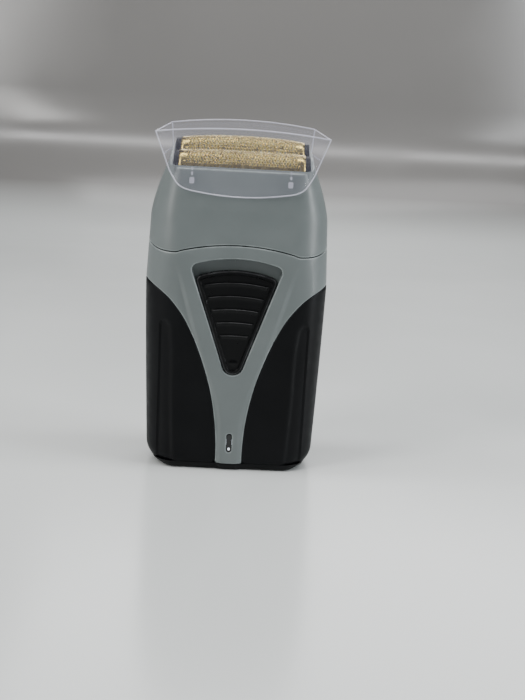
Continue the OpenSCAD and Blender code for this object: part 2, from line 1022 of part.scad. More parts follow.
module switch_lever() {
    color(part_black)
        box(-lever_half, lever_half, slider_front + neck_seat, board_front - clear,
            lever_z - lever_half, lever_z + lever_half);
}

module switch_slider() {
    color(part_black)
        difference() {
            box(-slider_half, slider_half, slider_front, slider_back,
                neck_low - slider_end, neck_high + slider_end);
            box(-lever_half, lever_half, slider_front - 1, slider_back + 1,
                lever_z - lever_half, lever_z + lever_half);
            box(-neck_half_x, neck_half_x, slider_front - 1, slider_front + neck_seat, neck_low, neck_high);
        }
}

// The button: a plate with a raised border and arched cross ridges in the dish inside it.
button_low = 3.6;
button_sink = 0.5;
button_dish = 0.5;
button_border = 1.1;
ridge_w = 0.7;
ridge_margin = 2.3;
first_ridge = 4.2;
module switch_button() {
    front = -body_d / 2 + button_sink;
    back = floor_y - fit;
    side_run = recess_half / (recess_top_z - recess_tip_z);
    color(part_black) {
        difference() {
            front_prism(front, back)
                recess_outline(switch_gap, button_low);
            front_prism(front - 1, front + button_dish)
                recess_outline(switch_gap + button_border, button_low);
        }
        for (i = [0 : ridge_count - 1]) {
            z = recess_top_z - button_low - first_ridge - i * ridge_pitch;
            half = side_run * (z - recess_tip_z) - ridge_margin;
            intersection() {
                front_prism(front, front + button_dish + 0.1)
                    translate([0, z - ridge_r])
                        difference() {
                            circle(ridge_r + ridge_w / 2, $fn = 128);
                            circle(ridge_r - ridge_w / 2, $fn = 128);
                        }
                box(-half, half, -body_d, 0, z - 3, z + 2);
            }
        }
        box(-neck_half_x, neck_half_x, floor_y - 1, slider_front + neck_seat, neck_low, neck_high);
    }
}

module indicator_led() {
    color([0.8, 0.9, 0.8])
        box(-1, 1, board_front - led_t, board_front, led_low, led_low + led_h);
}

module charge_jack() {
    color(part_black)
        translate([0, jack_y, 0])
            difference() {
                union() {
                    box(-jack_half, jack_half, -jack_half, jack_half, base_t, jack_top);
                    translate([0, 0, jack_nose_z])
                        cylinder(r = jack_nose_r, h = base_t);
                }
                translate([0, 0, -1])
                    cylinder(r = jack_r, h = jack_depth + 1);
                cylinder(r = jack_root_r, h = jack_depth + jack_root_h);
            }
}

module jack_pin() {
    color(steel)
        translate([0, jack_y, 0]) {
            translate([0, 0, jack_pin_z])
                cylinder(r = jack_pin_r, h = jack_depth - jack_pin_z + 1);
            translate([0, 0, jack_depth])
                cylinder(r = jack_root_r, h = jack_root_h);
        }
}

lead_r = 0.45;
module motor_leads() {
    terminal_front = motor_y - terminal_t / 2 - lead_r;
    color(lead_red)
        for (s = [-1, 1])
            lead([
                [s * terminal_x, terminal_front, end_cap_z - terminal_below + 2 * lead_r],
                [s * terminal_x, terminal_front - 2, end_cap_z - terminal_below - 1],
                [s * terminal_x, board_back + lead_r, end_cap_z - terminal_below - 4],
                [s * terminal_x, board_back + lead_r, end_cap_z - terminal_below - 6]
            ], lead_r);
}

module battery_leads() {
    tap_x = cell_x + cell_r + tab_out / 2 - 0.1;
    run_y = motor_y - motor_flat / 2 + 1.1;
    board_end = [-board_half + 1, board_back + lead_r, board_low + 24];
    color(lead_black) {
        lead([
            [tap_x, motor_y, cell_z - tab_t - lead_r],
            [tap_x, run_y, cell_z - tab_t - lead_r - 0.6],
            board_end - [0, 0, 14]
        ], lead_r);
        lead([
            [tap_x, motor_y - tab_half - lead_r, cell_z + cell_len + tab_t / 2],
            [tap_x, run_y, cell_z + cell_len - 1],
            [tap_x, run_y, board_end[2] + 3],
            board_end
        ], lead_r);
    }
}

// Posts rise from a slide to its cutter; each has a collar that the spring stands on.
seat_drop = 6.4;
spring_len = 5.4;
post_boss_r = 2.6;
// Solid top left over the bore of a sleeve, and how far the post stops short of it
sleeve_roof = 1;
post_drop = sleeve_roof + float_travel + 0.4;
spring_seat_t = 1;
module posts(side, from_z, cutter_z) {
    for (s = [-1, 1])
        translate([s * post_x, side * foil_y, 0]) {
            translate([0, 0, from_z])
                cylinder(r = post_r, h = cutter_z - post_drop - from_z);
            translate([0, 0, cutter_z - seat_drop - spring_len - spring_seat_t])
                cylinder(r = post_boss_r, h = spring_seat_t);
        }
}

module crank_slot(z0) {
    box(-slot_half_x, slot_half_x, motor_y - slot_half_y, motor_y + slot_half_y, z0 - 1, z0 + slide_t + 1);
}

module front_drive() {
    color(slide_white) {
        difference() {
            box(-low_slide_half, low_slide_half, low_front, low_rear, low_slide_z, low_slide_z + slide_t);
            crank_slot(low_slide_z);
        }
        posts(-1, low_slide_z, front_foil_z);
    }
}

module rear_drive() {
    color(slide_white) {
        difference() {
            union() {
                box(-up_slide_half, up_slide_half, up_front, up_rear, up_slide_z, up_slide_z + slide_t);
                for (s = [-1, 1])
                    translate([s * (foot_in + foot_w / 2), 0, 0])
                        box(-foot_w / 2, foot_w / 2, up_front, up_rear, foot_z, up_slide_z + eps);
            }
            crank_slot(up_slide_z);
        }
        posts(1, up_slide_z, rear_foil_z);
    }
}

// The carrier: shoulders that the blades stand on, a core inside them and two sleeves that
// run on the drive posts.
shoulder_drop = 1.5;
shoulder_t = 1.8;
core_rise = 0.4;
module carrier(side, zc) {
    core = blade_r - blade_depth - fit;
    half = cutter_half + core_rise;
    color(rubber)
        translate([0, side * foil_y, zc])
            difference() {
                union() {
                    box(-half, half, -blade_r + fit, blade_r - fit,
                        -shoulder_drop - shoulder_t, -shoulder_drop);
                    box(-half, half, -core, core, -shoulder_drop - eps, core_rise);
                    for (s = [-1, 1])
                        translate([s * post_x, 0, -seat_drop])
                            cylinder(r = post_boss_r, h = seat_drop - shoulder_drop - fit);
                }
                for (s = [-1, 1])
                    translate([s * post_x, 0, -seat_drop - 1])
                        cylinder(r = post_r + post_fit, h = seat_drop + 1 - sleeve_roof);
            }
}

// A stack of arched blades that stands on the carrier's shoulders.
module blades(side, zc) {
    color(steel)
        translate([0, side * foil_y, zc])
            for (i = [0 : blade_count - 1])
                translate([(i - (blade_count - 1) / 2) * blade_pitch - blade_t / 2, 0, 0])
                    rotate([90, 0, 90])
                        linear_extrude(blade_t)
                            difference() {
                                union() {
                                    circle(blade_r);
                                    translate([-blade_r, -shoulder_drop])
                                        square([2 * blade_r, shoulder_drop]);
                                }
                                circle(blade_r - blade_depth);
                                translate([-blade_r + blade_depth, -blade_r])
                                    square([2 * (blade_r - blade_depth), blade_r]);
                                translate([-2 * blade_r, -4 * blade_r - shoulder_drop])
                                    square(4 * blade_r);
                            }
}

// Compression spring swept along a helix that stops just clear of both of its seats.
spring_turns = 4;
spring_steps = 14;
spring_wire = 0.22;
spring_r = 2.1;
spring_gap = 0.03;
function helix(t, len_z) = [
    spring_r * cos(360 * t), spring_r * sin(360 * t),
    spring_wire + spring_gap + (len_z - 2 * spring_wire - 2 * spring_gap) * t / spring_turns
];
module spring(len_z) {
    rings = spring_turns * spring_steps;
    sides = 6;
    pts = [
        for (i = [0 : rings], k = [0 : sides - 1])
            let (c = helix(i / spring_steps, len_z), a = 360 * i / spring_steps, b = 360 * k / sides)
            c + spring_wire * [cos(a) * cos(b), sin(a) * cos(b), sin(b)]
    ];
    walls = [
        for (i = [0 : rings - 1], k = [0 : sides - 1])
            let (a = i * sides + k, b = i * sides + (k + 1) % sides)
            each [[a, b, a + sides], [b, b + sides, a + sides]]
    ];
    ends = [
        [for (k = [0 : sides - 1]) sides - 1 - k],
        [for (k = [0 : sides - 1]) rings * sides + k]
    ];
    polyhedron(points = pts, faces = concat(walls, ends));
}

module springs(side, zc) {
    color(steel)
        for (s = [-1, 1])
            translate([s * post_x, side * foil_y, zc - seat_drop - spring_len])
                spring(spring_len);
}

module front_carrier() { carrier(-1, front_foil_z); }
module rear_carrier() { carrier(1, rear_foil_z); }
module front_blades() { blades(-1, front_foil_z); }
module rear_blades() { blades(1, rear_foil_z); }
module front_springs() { springs(-1, front_foil_z); }
module rear_springs() { springs(1, rear_foil_z); }

module tower(half_x, half_y) {
    linear_extrude(big)
        square([2 * half_x, 2 * half_y], center = true);
}

module head_housing() {
    color(shell_grey)
        difference() {
            form(0);
            under_seam(0);
            intersection() {
                form(head_wall);
                under_rim(frame_depth + ledge_t);
            }
            difference() {
                tower(foil_len / 2, opening_half_y);
                linear_extrude(belly_z)
                    square(big, center = true);
            }
            difference() {
                tower(seat_half_x, seat_half_y);
                under_rim(frame_depth);
            }
            difference() {
                translate([-big / 2, -big / 2, 0])
                    cube([big, big, big]);
                under_rim(0);
            }
        }
}

module foil_frame() {
    color(part_black) {
        difference() {
            intersection() {
                tower(seat_half_x - frame_gap, seat_half_y - frame_gap);
                under_rim(frame_recess);
            }
            under_rim(frame_depth);
            for (s = [-1, 1])
                translate([0, s * foil_y, 0])
                    tower(foil_len / 2, foil_r + frame_gap);
        }
        for (s = [-1, 1], f = [-1, 1])
            translate([s > 0 ? foil_len / 2 : -foil_len / 2 - foil_end_w + frame_gap, f * foil_y,
                       f < 0 ? front_foil_z : rear_foil_z])
                rotate([90, 0, 90])
                    linear_extrude(foil_end_w - frame_gap)
                        intersection() {
                            circle(foil_r - frame_recess);
                            translate([-foil_r, 0])
                                square([2 * foil_r, foil_r]);
                        }
    }
}

// A foil: an arch with a straight skirt down each side.
foil_skirt = 2.6;
module foil(side, zc) {
    color(gold)
        translate([-foil_len / 2, side * foil_y, zc])
            rotate([90, 0, 90])
                linear_extrude(foil_len)
                    difference() {
                        union() {
                            circle(foil_r, $fn = 96);
                            translate([-foil_r, -foil_skirt])
                                square([2 * foil_r, foil_skirt]);
                        }
                        circle(foil_r - foil_t, $fn = 96);
                        translate([-foil_r + foil_t, -2 * foil_r])
                            square([2 * (foil_r - foil_t), 2 * foil_r]);
                        translate([-2 * foil_r, -4 * foil_r - foil_skirt])
                            square(4 * foil_r);
                    }
}

module front_foil() { foil(-1, front_foil_z); }
module rear_foil() { foil(1, rear_foil_z); }

// The cap's end walls are drawn on up past its top, which the arched top then cuts.
cap_peak = cap_corner_z + 5.6;
cap_peak_out = 2;
cap_splay = (cap_top_w / 2 + cap_peak_out - cap_waist_w / 2) / (cap_peak - cap_waist_z);

// Front view of the cap: sloping ends above, flaps with a curved lower edge below.
module cap_front(inset) {
    top_half = cap_top_w / 2 - inset;
    waist = cap_waist_w / 2 - inset;
    polygon([[-waist, cap_waist_z], [waist, cap_waist_z], [top_half + cap_peak_out, cap_peak],
             [-top_half - cap_peak_out, cap_peak]]);
    intersection() {
        translate([0, cap_low_z + flap_r])
            circle(flap_r, $fn = 160);
        union() {
            translate([-waist, cap_waist_z])
                square([2 * waist, 1]);
            translate([-waist + flap_corner_r, cap_low_z - 1])
                square([2 * (waist - flap_corner_r), cap_waist_z - cap_low_z + 2]);
            for (s = [-1, 1])
                translate([s * (waist - flap_corner_r), cap_waist_z])
                    circle(flap_corner_r);
        }
    }
}

module cap_block(inset) {
    arch_r = (cap_top_w * cap_top_w / 4 + cap_arch * cap_arch) / (2 * cap_arch);
    intersection() {
        rotate([90, 0, 0])
            linear_extrude(cap_d - 2 * inset, center = true)
                cap_front(inset);
        translate([0, -cap_d / 2, cap_corner_z + cap_arch - inset])
            rotate([cap_tilt, 0, 0])
                translate([0, -big / 2, 0])
                    rotate([-90, 0, 0])
                        linear_extrude(big)
                            translate([0, arch_r])
                                circle(arch_r, $fn = 200);
    }
}

module protective_cap() {
    // The end walls stop where they would come near the rim.
    end_wall_z = cap_waist_z + (rim_w / 2 + clear - cap_waist_w / 2 + cap_wall) / cap_splay;
    color([0.85, 0.87, 0.95, 0.35])
        difference() {
            cap_block(0);
            difference() {
                cap_block(cap_wall);
                linear_extrude(cap_low_z + 1)
                    square(big, center = true);
            }
            translate([-big / 2, -cap_d / 2 + cap_wall, 0])
                cube([big, cap_d - 2 * cap_wall, end_wall_z]);
        }
}

front_shell();
rear_shell();
left_grip();
right_grip();
base_cap();
indicator_lens();
chassis();
drive_deck();
deck_seal();
shaft_seal();
deck_screws();
shell_screws();
base_screws();
motor_can();
motor_magnets();
motor_bearings();
motor_end_cap();
motor_terminals();
motor_screws();
motor_shaft();
motor_armature();
eccentric();
battery_cell();
battery_tabs();
circuit_board();
slide_switch();
switch_lever();
switch_slider();
switch_button();
indicator_led();
charge_jack();
jack_pin();
motor_leads();
battery_leads();
front_drive();
rear_drive();
front_carrier();
front_blades();
front_springs();
rear_carrier();
rear_blades();
rear_springs();
head_housing();
foil_frame();
front_foil();
rear_foil();
protective_cap();
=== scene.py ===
import json
import math

import bmesh
import bpy
import numpy as np
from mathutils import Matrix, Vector
from mathutils.geometry import delaunay_2d_cdt


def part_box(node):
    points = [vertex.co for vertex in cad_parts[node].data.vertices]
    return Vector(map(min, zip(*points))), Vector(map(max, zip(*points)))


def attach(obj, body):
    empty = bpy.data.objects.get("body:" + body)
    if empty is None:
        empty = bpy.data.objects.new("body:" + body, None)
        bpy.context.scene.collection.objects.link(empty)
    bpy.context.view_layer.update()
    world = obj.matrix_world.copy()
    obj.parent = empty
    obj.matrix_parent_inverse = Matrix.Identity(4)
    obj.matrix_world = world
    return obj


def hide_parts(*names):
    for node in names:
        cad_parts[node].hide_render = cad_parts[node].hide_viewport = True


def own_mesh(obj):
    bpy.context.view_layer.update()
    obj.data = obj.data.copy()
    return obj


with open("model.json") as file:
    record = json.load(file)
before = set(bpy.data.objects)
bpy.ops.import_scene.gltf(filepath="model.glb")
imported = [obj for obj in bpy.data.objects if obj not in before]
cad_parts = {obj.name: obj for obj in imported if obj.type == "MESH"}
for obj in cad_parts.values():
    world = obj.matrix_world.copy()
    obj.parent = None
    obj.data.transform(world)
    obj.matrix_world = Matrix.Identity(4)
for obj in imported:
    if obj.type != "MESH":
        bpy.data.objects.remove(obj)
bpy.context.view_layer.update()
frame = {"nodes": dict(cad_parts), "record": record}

# Shapes are worked out in millimetres and made in metres.
MM = 0.001


def low(node):
    """Lowest corner of a CAD node, in millimetres."""
    return [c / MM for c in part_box(node)[0]]


def high(node):
    """Highest corner of a CAD node, in millimetres."""
    return [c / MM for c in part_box(node)[1]]


# ---------------- driving sizes, from the frame
BODY_HALF_W = high("right_grip")[0]
BELLY_Y = -low("front_shell")[1]
BASE_T = high("base_cap")[2]
FOIL_HALF = high("front_foil")[0]
FOIL_R = (high("front_foil")[1] - low("front_foil")[1]) / 2
FOIL_Y = (high("rear_foil")[1] + low("rear_foil")[1]) / 2
FRONT_FOIL_TOP = high("front_foil")[2]
REAR_FOIL_TOP = high("rear_foil")[2]
FRAME_HALF_X = high("foil_frame")[0]
FRAME_HALF_Y = high("foil_frame")[1]
CAP_HALF_D = high("protective_cap")[1]
CAP_TOP = high("protective_cap")[2]
CAP_LOW = low("protective_cap")[2]
SCREW_HEAD_R, SCREW_HOLE_R = 1.8, 1.9
JACK_HOLE_R = 2.45
SHELL_SCREW_X = (high("shell_screws")[0] - low("shell_screws")[0]) / 2 - SCREW_HEAD_R
SHELL_SCREW_Z = (high("shell_screws")[2] + low("shell_screws")[2]) / 2
BASE_SCREW_X = high("base_screws")[0] - SCREW_HEAD_R
JACK_Y = (high("jack_pin")[1] + low("jack_pin")[1]) / 2

# ---------------- the outer form
FLAT = 18.5            # half width of the flat front
TURN = 18.5            # length given to a corner in the unrolled form
SIDE = 2.0             # half depth of the flat side
SIDE_U = FLAT + TURN + SIDE
BACK_U = 2 * SIDE_U
CORNER_R = 7.0         # radius of the two bottom corners in front view
EDGE_R = 1.8           # radius along the front and rear of the base
SHOULDER_Z = 62.7
BELLY_Z = 72.5
RIM_Z = 99.8
RIM_HALF_D = 12.4
RIM_SLOPE = math.tan(math.radians(18))
RIM_HALF_W = 23.3
TAPER_W, TAPER_D = 1.9, 1.75            # how much less the half width and half depth are at the foot
SIDE_LEAN = 0.05       # slope of the sides above the shoulders
ROUND_Z, ROUNDING = 84, 0.060           # the head's sides curve in from this height
PLATEAU = 0.75         # how far the middle plateau of the body stands proud
POCKET_DEPTH = 3.6     # of the pocket that the switch button slides in
POCKET_Y = POCKET_DEPTH - BELLY_Y


def smooth(t):
    t = np.clip(t, 0, 1)
    return t * t * (3 - 2 * t)


def z_of(v):
    """Height of a place on the unrolled form; v runs along the outline round the bottom corner."""
    v = np.asarray(v, float)
    turned = CORNER_R * (1 - np.cos(math.pi / 2 - (CORNER_R - v) / CORNER_R))
    return np.where(v < CORNER_R, turned, v)


def v_of(z):
    z = np.asarray(z, float)
    angle = np.arccos(np.clip(1 - z / CORNER_R, -1, 1))
    return np.where(z < CORNER_R, CORNER_R - CORNER_R * (math.pi / 2 - angle), z)


def half_width(z):
    """Half width of the form: slow taper below the shoulders, a tightening curve above."""
    below = BODY_HALF_W - TAPER_W * np.clip((SHOULDER_Z - z) / SHOULDER_Z, 0, 1) ** 1.3
    above = BODY_HALF_W - SIDE_LEAN * np.clip(z - SHOULDER_Z, 0, None)
    rounding = ROUNDING * np.clip(z - ROUND_Z, 0, None) ** 1.5
    corner = CORNER_R - np.sqrt(np.clip(CORNER_R ** 2 - np.clip(CORNER_R - z, 0, None) ** 2, 0, None))
    w = np.where(z < SHOULDER_Z, below, above) - rounding - corner
    return np.where(z > RIM_Z - 2, np.maximum(w, RIM_HALF_W), w)


def half_depth(z):
    """Half depth of the form: fullest at the belly, less towards the foot and the rim."""
    low_d = BELLY_Y - TAPER_D * np.clip((BELLY_Z - z) / BELLY_Z, 0, 1) ** 1.2
    t = np.clip((z - BELLY_Z) / (RIM_Z - BELLY_Z), 0, 1)
    high_d = BELLY_Y - (BELLY_Y - RIM_HALF_D) * t ** 1.12
    edge = EDGE_R - np.sqrt(np.clip(EDGE_R ** 2 - np.clip(EDGE_R - z, 0, None) ** 2, 0, None))
    return np.where(z < BELLY_Z, low_d, high_d) - edge


def form(u, v):
    """Point of the outer form. u runs round it from the middle of the front, v up it."""
    z = z_of(v)
    around = np.abs(np.asarray(u, float))
    rear = around > SIDE_U
    s = np.where(rear, 2 * SIDE_U - around, around)
    turn = np.clip((s - FLAT) / TURN, 0, 1) * math.pi / 2
    x = np.minimum(s, FLAT) + (half_width(z) - FLAT) * np.sin(turn)
    depth = half_depth(z)
    y = -(SIDE + (depth - SIDE) * np.cos(turn))
    y = np.where(s > FLAT + TURN, s - SIDE_U, y)
    return np.stack([np.sign(u) * x, np.where(rear, -y, y), z + 0 * x], -1)


def u_of(x, z):
    """Place round the form of a point given in front view."""
    reach = np.clip((np.abs(x) - FLAT) / (half_width(z) - FLAT), 0, 1)
    return np.sign(x) * (np.minimum(np.abs(x), FLAT) + TURN * np.arcsin(reach) / (math.pi / 2))


# ---------------- outlines in front view
SEAM_MID, SEAM_LOW, SEAM_LOW_X = 76.5, 73.6, 20.3
SEAM_RISE = 2.6
SEAM_GAP = 0.28
STEM_HALF = 4.45
SWEEP_R, SWEEP_Z, SWEEP_START = 97.0, 50.0, 5.0
SHOULDER_SWEEP_R = 30.0


def seam_z(x):
    """The seam arches over the middle, dips on each side and rises to the silhouette."""
    x = np.abs(x)
    radius = (SEAM_LOW_X ** 2 + (SEAM_MID - SEAM_LOW) ** 2) / (2 * (SEAM_MID - SEAM_LOW))
    arch = SEAM_MID - radius + np.sqrt(np.clip(radius ** 2 - x ** 2, 0, None))
    run = np.clip((x - SEAM_LOW_X) / (BODY_HALF_W - SEAM_LOW_X), 0, 1)
    outer = SEAM_LOW + SEAM_RISE * run ** 3
    blend = smooth((x - SEAM_LOW_X + 2.5) / 3.5)
    return np.maximum(arch, SEAM_LOW + 0.05) * (1 - blend) + outer * blend


def grip_edge():
    """The grip's edge in front view, from the base to the side: two arcs that run into each other."""
    centre_x = STEM_HALF + SWEEP_R
    rise = SWEEP_Z - SWEEP_START
    meet_x = centre_x - math.sqrt(SWEEP_R ** 2 - rise ** 2)
    ux, uz = (centre_x - meet_x) / SWEEP_R, -rise / SWEEP_R
    shoulder_x = meet_x + SHOULDER_SWEEP_R * ux
    shoulder_z = SWEEP_Z + SHOULDER_SWEEP_R * uz
    points = [(STEM_HALF, BASE_T)]
    for z in np.linspace(SWEEP_START, SWEEP_Z, 60):
        points.append((centre_x - math.sqrt(SWEEP_R ** 2 - (z - SWEEP_START) ** 2), z))
    first = math.acos((meet_x - shoulder_x) / SHOULDER_SWEEP_R)
    last = math.acos((BODY_HALF_W - 0.15 - shoulder_x) / SHOULDER_SWEEP_R)
    for angle in np.linspace(first, last, 28)[1:]:
        points.append((shoulder_x + SHOULDER_SWEEP_R * math.cos(angle),
                       shoulder_z + SHOULDER_SWEEP_R * math.sin(angle)))
    return np.array(points)


def arc(x, z, r, start, stop, steps):
    angles = np.radians(np.linspace(start, stop, steps + 1))
    return [(x + r * math.cos(a), z + r * math.sin(a)) for a in angles]


RECESS_HALF, RECESS_TOP, RECESS_TIP = 12.4, 68.1, 33.4
RECESS_CORNER_R, RECESS_TIP_R, RECESS_ARCH = 2.1, 3.5, 72.1
BUTTON_LOW, BUTTON_GAP = 3.6, 0.35


def recess_outline(inset, lower):
    """A rounded tip, two rounded upper corners and an arched top, drawn in by the inset."""
    tip_r, corner_r = RECESS_TIP_R - inset, RECESS_CORNER_R - inset
    tip_z, top_z = RECESS_TIP + RECESS_TIP_R, RECESS_TOP - lower
    half = RECESS_HALF - lower * RECESS_HALF / (RECESS_TOP - RECESS_TIP)
    rise = RECESS_ARCH - RECESS_TOP - inset
    arch_r = (half ** 2 + rise ** 2 - corner_r ** 2) / (2 * (rise - corner_r))
    arch_z = top_z + rise - arch_r
    lean = math.degrees(math.atan2(top_z - tip_z, half)
                        - math.acos((tip_r - corner_r) / math.hypot(half, top_z - tip_z)))
    turn = math.degrees(math.atan2(top_z - arch_z, half))
    points = arc(0, tip_z, tip_r, -180 - lean, lean, 16)
    points += arc(half, top_z, corner_r, lean, turn, 10)
    points += arc(0, arch_z, arch_r, turn, 180 - turn, 20)[1:-1]
    points += arc(-half, top_z, corner_r, 180 - turn, 180 - lean, 10)
    return np.array(points)


def slot_outline(x, z, w, h, steps=8):
    r = w / 2
    points = arc(x, z + h / 2 - r, r, 0, 180, steps) + arc(x, z - h / 2 + r, r, 180, 360, steps)
    return resample(points, 0.4)


def rounded_rect(half_x, half_y, r, steps=6):
    points = []
    for sx, sy, start in ((1, 1, 0), (-1, 1, 90), (-1, -1, 180), (1, -1, 270)):
        points += arc(sx * (half_x - r), sy * (half_y - r), r, start, start + 90, steps)
    return np.array(points)


# ---------------- relief on the body
CREASE = ((0, 2.5), (8, 2.6), (17, 2.9), (25, 4.4), (35.5, 8.3), (55.5, 14.5), (72.5, 19.2))
FLUTE_OUT, FLUTE_TOP, FLUTE_DEPTH = 24.8, 51.0, 0.55
RELIEF_FADE, CREASE_RUN = 14, 1.7       # height over which the relief fades, width of the plateau's edge
FLANK_X, FLANK_RUN = 20, 8              # where the relief fades towards the sides, and over what width
FLUTE_IN = ((0, 17.8), (24.5, 19.3), (43, 19.8), (48, 20.4), (60, 22.0))


def spline(points, at):
    """A smooth curve through the points, as a cubic Hermite."""
    t, y = np.array(points, float).T
    slopes = np.gradient(y, t)
    i = np.clip(np.searchsorted(t, at) - 1, 0, len(t) - 2)
    h = t[i + 1] - t[i]
    s = np.clip((at - t[i]) / h, 0, 1)
    return ((2 * s ** 3 - 3 * s ** 2 + 1) * y[i] + (s ** 3 - 2 * s ** 2 + s) * h * slopes[i]
            + (3 * s ** 2 - 2 * s ** 3) * y[i + 1] + (s ** 3 - s ** 2) * h * slopes[i + 1])


def body_relief(x, z):
    """The surface falls away outside the plateau; the fall fades out towards the seam and the sides."""
    fade = smooth((BELLY_Z + 1 - z) / RELIEF_FADE)
    run = np.clip((np.abs(x) - spline(CREASE, z)) / CREASE_RUN, 0, 1)
    outside = 0.6 * run + 0.4 * smooth(run)
    sides = 1 - smooth((np.abs(x) - FLANK_X) / FLANK_RUN)
    return -PLATEAU * fade * outside * sides


def body_lines():
    """Lines in the unrolled form along the plateau's edges, where the surface turns."""
    z = np.arange(3.5, BELLY_Z, 0.8)
    lines = []
    for offset in (-0.2, 0.1, 0.45, 0.85, 1.25, 1.6, 1.9):
        x = spline(CREASE, z) + offset
        lines += [np.column_stack([side * u_of(x, z), v_of(z)]) for side in (-1, 1)]
    return lines


def grip_lines():
    """Lines along the edges of a grip's flute, front and rear."""
    z = np.arange(3.5, FLUTE_TOP + 0.5, 0.8)
    lines = []
    for x in [spline(FLUTE_IN, z) + d for d in (-0.1, 0.5, 1.0, 1.5, 2.1)] + [
            FLUTE_OUT + 0 * z - d for d in (0.05, -0.1, 0.25, 0.5, 0.7)]:
        front = np.column_stack([u_of(x, z), v_of(z)])
        lines += [front, front * [-1, 1] + [BACK_U, 0]]
    return lines


def grip_relief(x, z):
    inner, around = spline(FLUTE_IN, z), np.abs(x)
    half = (FLUTE_OUT - inner) / 2
    mid = (FLUTE_OUT + inner) / 2
    above = np.clip(z - (FLUTE_TOP - half), 0, None)
    reach = half - np.hypot(around - mid, above)
    soft = np.where(around > mid, 0.5, 2.0)
    return body_relief(x, z) - FLUTE_DEPTH * smooth(reach / soft)


# ---------------- patches of a surface
def close_loop(line):
    return np.vstack([line, line[:1]])


def segments(lines):
    a = np.concatenate([line[:-1] for line in lines])
    b = np.concatenate([line[1:] for line in lines])
    return a, b


def inside(points, loops):
    a, b = segments([close_loop(loop) for loop in loops])
    px, py = points[:, None, 0], points[:, None, 1]
    crosses = (a[:, 1] > py) != (b[:, 1] > py)
    with np.errstate(divide="ignore", invalid="ignore"):
        at = (b[:, 0] - a[:, 0]) * (py - a[:, 1]) / (b[:, 1] - a[:, 1]) + a[:, 0]
    return (np.sum(crosses & (px < at), 1) % 2) == 1


def distance(points, a, b):
    """Distance of each point to the nearest of the segments."""
    result = np.empty(len(points))
    run = b - a
    length = np.maximum((run ** 2).sum(1), 1e-12)
    for i in range(0, len(points), 1500):
        p = points[i:i + 1500, None]
        t = np.clip(((p - a) * run).sum(2) / length, 0, 1)
        result[i:i + 1500] = np.sqrt((((p - a) - t[..., None] * run) ** 2).sum(2)).min(1)
    return result


def resample(points, step, closed=True):
    points = np.asarray(points, float)
    if closed:
        points = np.vstack([points, points[:1]])
    lengths = np.hypot(*np.diff(points, axis=0).T)
    out = []
    for p, q, d in zip(points[:-1], points[1:], lengths):
        n = max(1, int(math.ceil(d / step - 0.3)))
        out += [p + (q - p) * k / n for k in range(n)]
    return np.array(out if closed else out + [points[-1]])


def beside(line, depth):
    """Points beside a line at a depth, on both sides of it."""
    along = np.gradient(line, axis=0)
    normal = np.stack([-along[:, 1], along[:, 0]], 1) / np.maximum(np.hypot(*along.T), 1e-9)[:, None]
    return np.vstack([line + depth * normal, line - depth * normal])


def in_plane(points, y):
    """Points drawn in front view, put at a depth or at one depth each."""
    return np.column_stack([points[:, 0], 0 * points[:, 0] + y, points[:, 1]])


class Patch:
    """Part of a surface inside outlines given in its own two coordinates."""

    def __init__(self, loops, spacing, fillet=0.0, soft=None, lines=()):
        loops = [np.asarray(p, float) for p in loops]
        soft = soft or [close_loop(loop) for loop in loops]
        a, b = segments([close_loop(loop) for loop in loops])
        depths = [fillet * (1 - math.cos(math.radians(k))) for k in (22, 45, 67, 90)] if fillet else []
        flat_from = depths[-1] if depths else 0.0
        lo, hi = loops[0].min(0), loops[0].max(0)
        xs = np.arange(lo[0], hi[0], spacing)
        ys = np.arange(lo[1], hi[1], spacing * math.sqrt(3) / 2)
        grid = np.array([(x + (k % 2) * spacing / 2, y) for k, y in enumerate(ys) for x in xs])
        keep = inside(grid, loops)
        grid = grid[keep]
        grid = grid[distance(grid, a, b) > flat_from + 0.45 * spacing]
        if lines:
            grid = grid[distance(grid, *segments(lines)) > 0.4 * spacing]
            extra = np.vstack(lines)
            extra = extra[inside(extra, loops)]
            grid = np.vstack([grid, extra[distance(extra, a, b) > flat_from + 0.08]])
        points = [np.vstack(loops)]
        for line in soft:
            for d in depths:
                ring = beside(line, d)
                ring = ring[inside(ring, loops)]
                if len(ring):
                    points.append(ring[distance(ring, a, b) > 0.93 * d])
        points.append(grid)
        points = np.vstack(points)
        edges, n = [], 0
        for loop in loops:
            edges += [(n + i, n + (i + 1) % len(loop)) for i in range(len(loop))]
            n += len(loop)
        out = delaunay_2d_cdt([Vector(p) for p in points], edges, [], 0, 1e-5, True)
        self.at = np.array([tuple(p) for p in out[0]])
        faces = np.array([f for f in out[2] if len(f) == 3])
        self.faces = faces[inside(self.at[faces].mean(1), loops)]
        new_index = {}
        for k, sources in enumerate(out[3]):
            for source in sources:
                new_index[source] = k
        self.loops, n = [], 0
        for loop in loops:
            self.loops.append([new_index[n + i] for i in range(len(loop))])
            n += len(loop)
        self.edge_distance = distance(self.at, *segments(soft))
        r = max(fillet, 1e-9)
        inner = np.clip(r - self.edge_distance, 0, r)
        self.drop = r - np.sqrt(r * r - inner * inner) if fillet else np.zeros(len(self.at))

    def lift(self, surface, relief=None, out=1):
        """Puts the patch on a surface; the relief, a function of the point, stands out along the normal."""
        u, v = self.at.T
        point = surface(u, v)
        step = 0.02
        du = surface(u + step, v) - surface(u - step, v)
        dv = surface(u, v + step) - surface(u, v - step)
        normal = np.cross(du, dv)
        normal /= np.maximum(np.linalg.norm(normal, axis=1), 1e-12)[:, None]
        rise = relief(point[:, 0], point[:, 2]) if relief else 0
        self.point = point + out * normal * (rise - self.drop)[:, None]
        return self


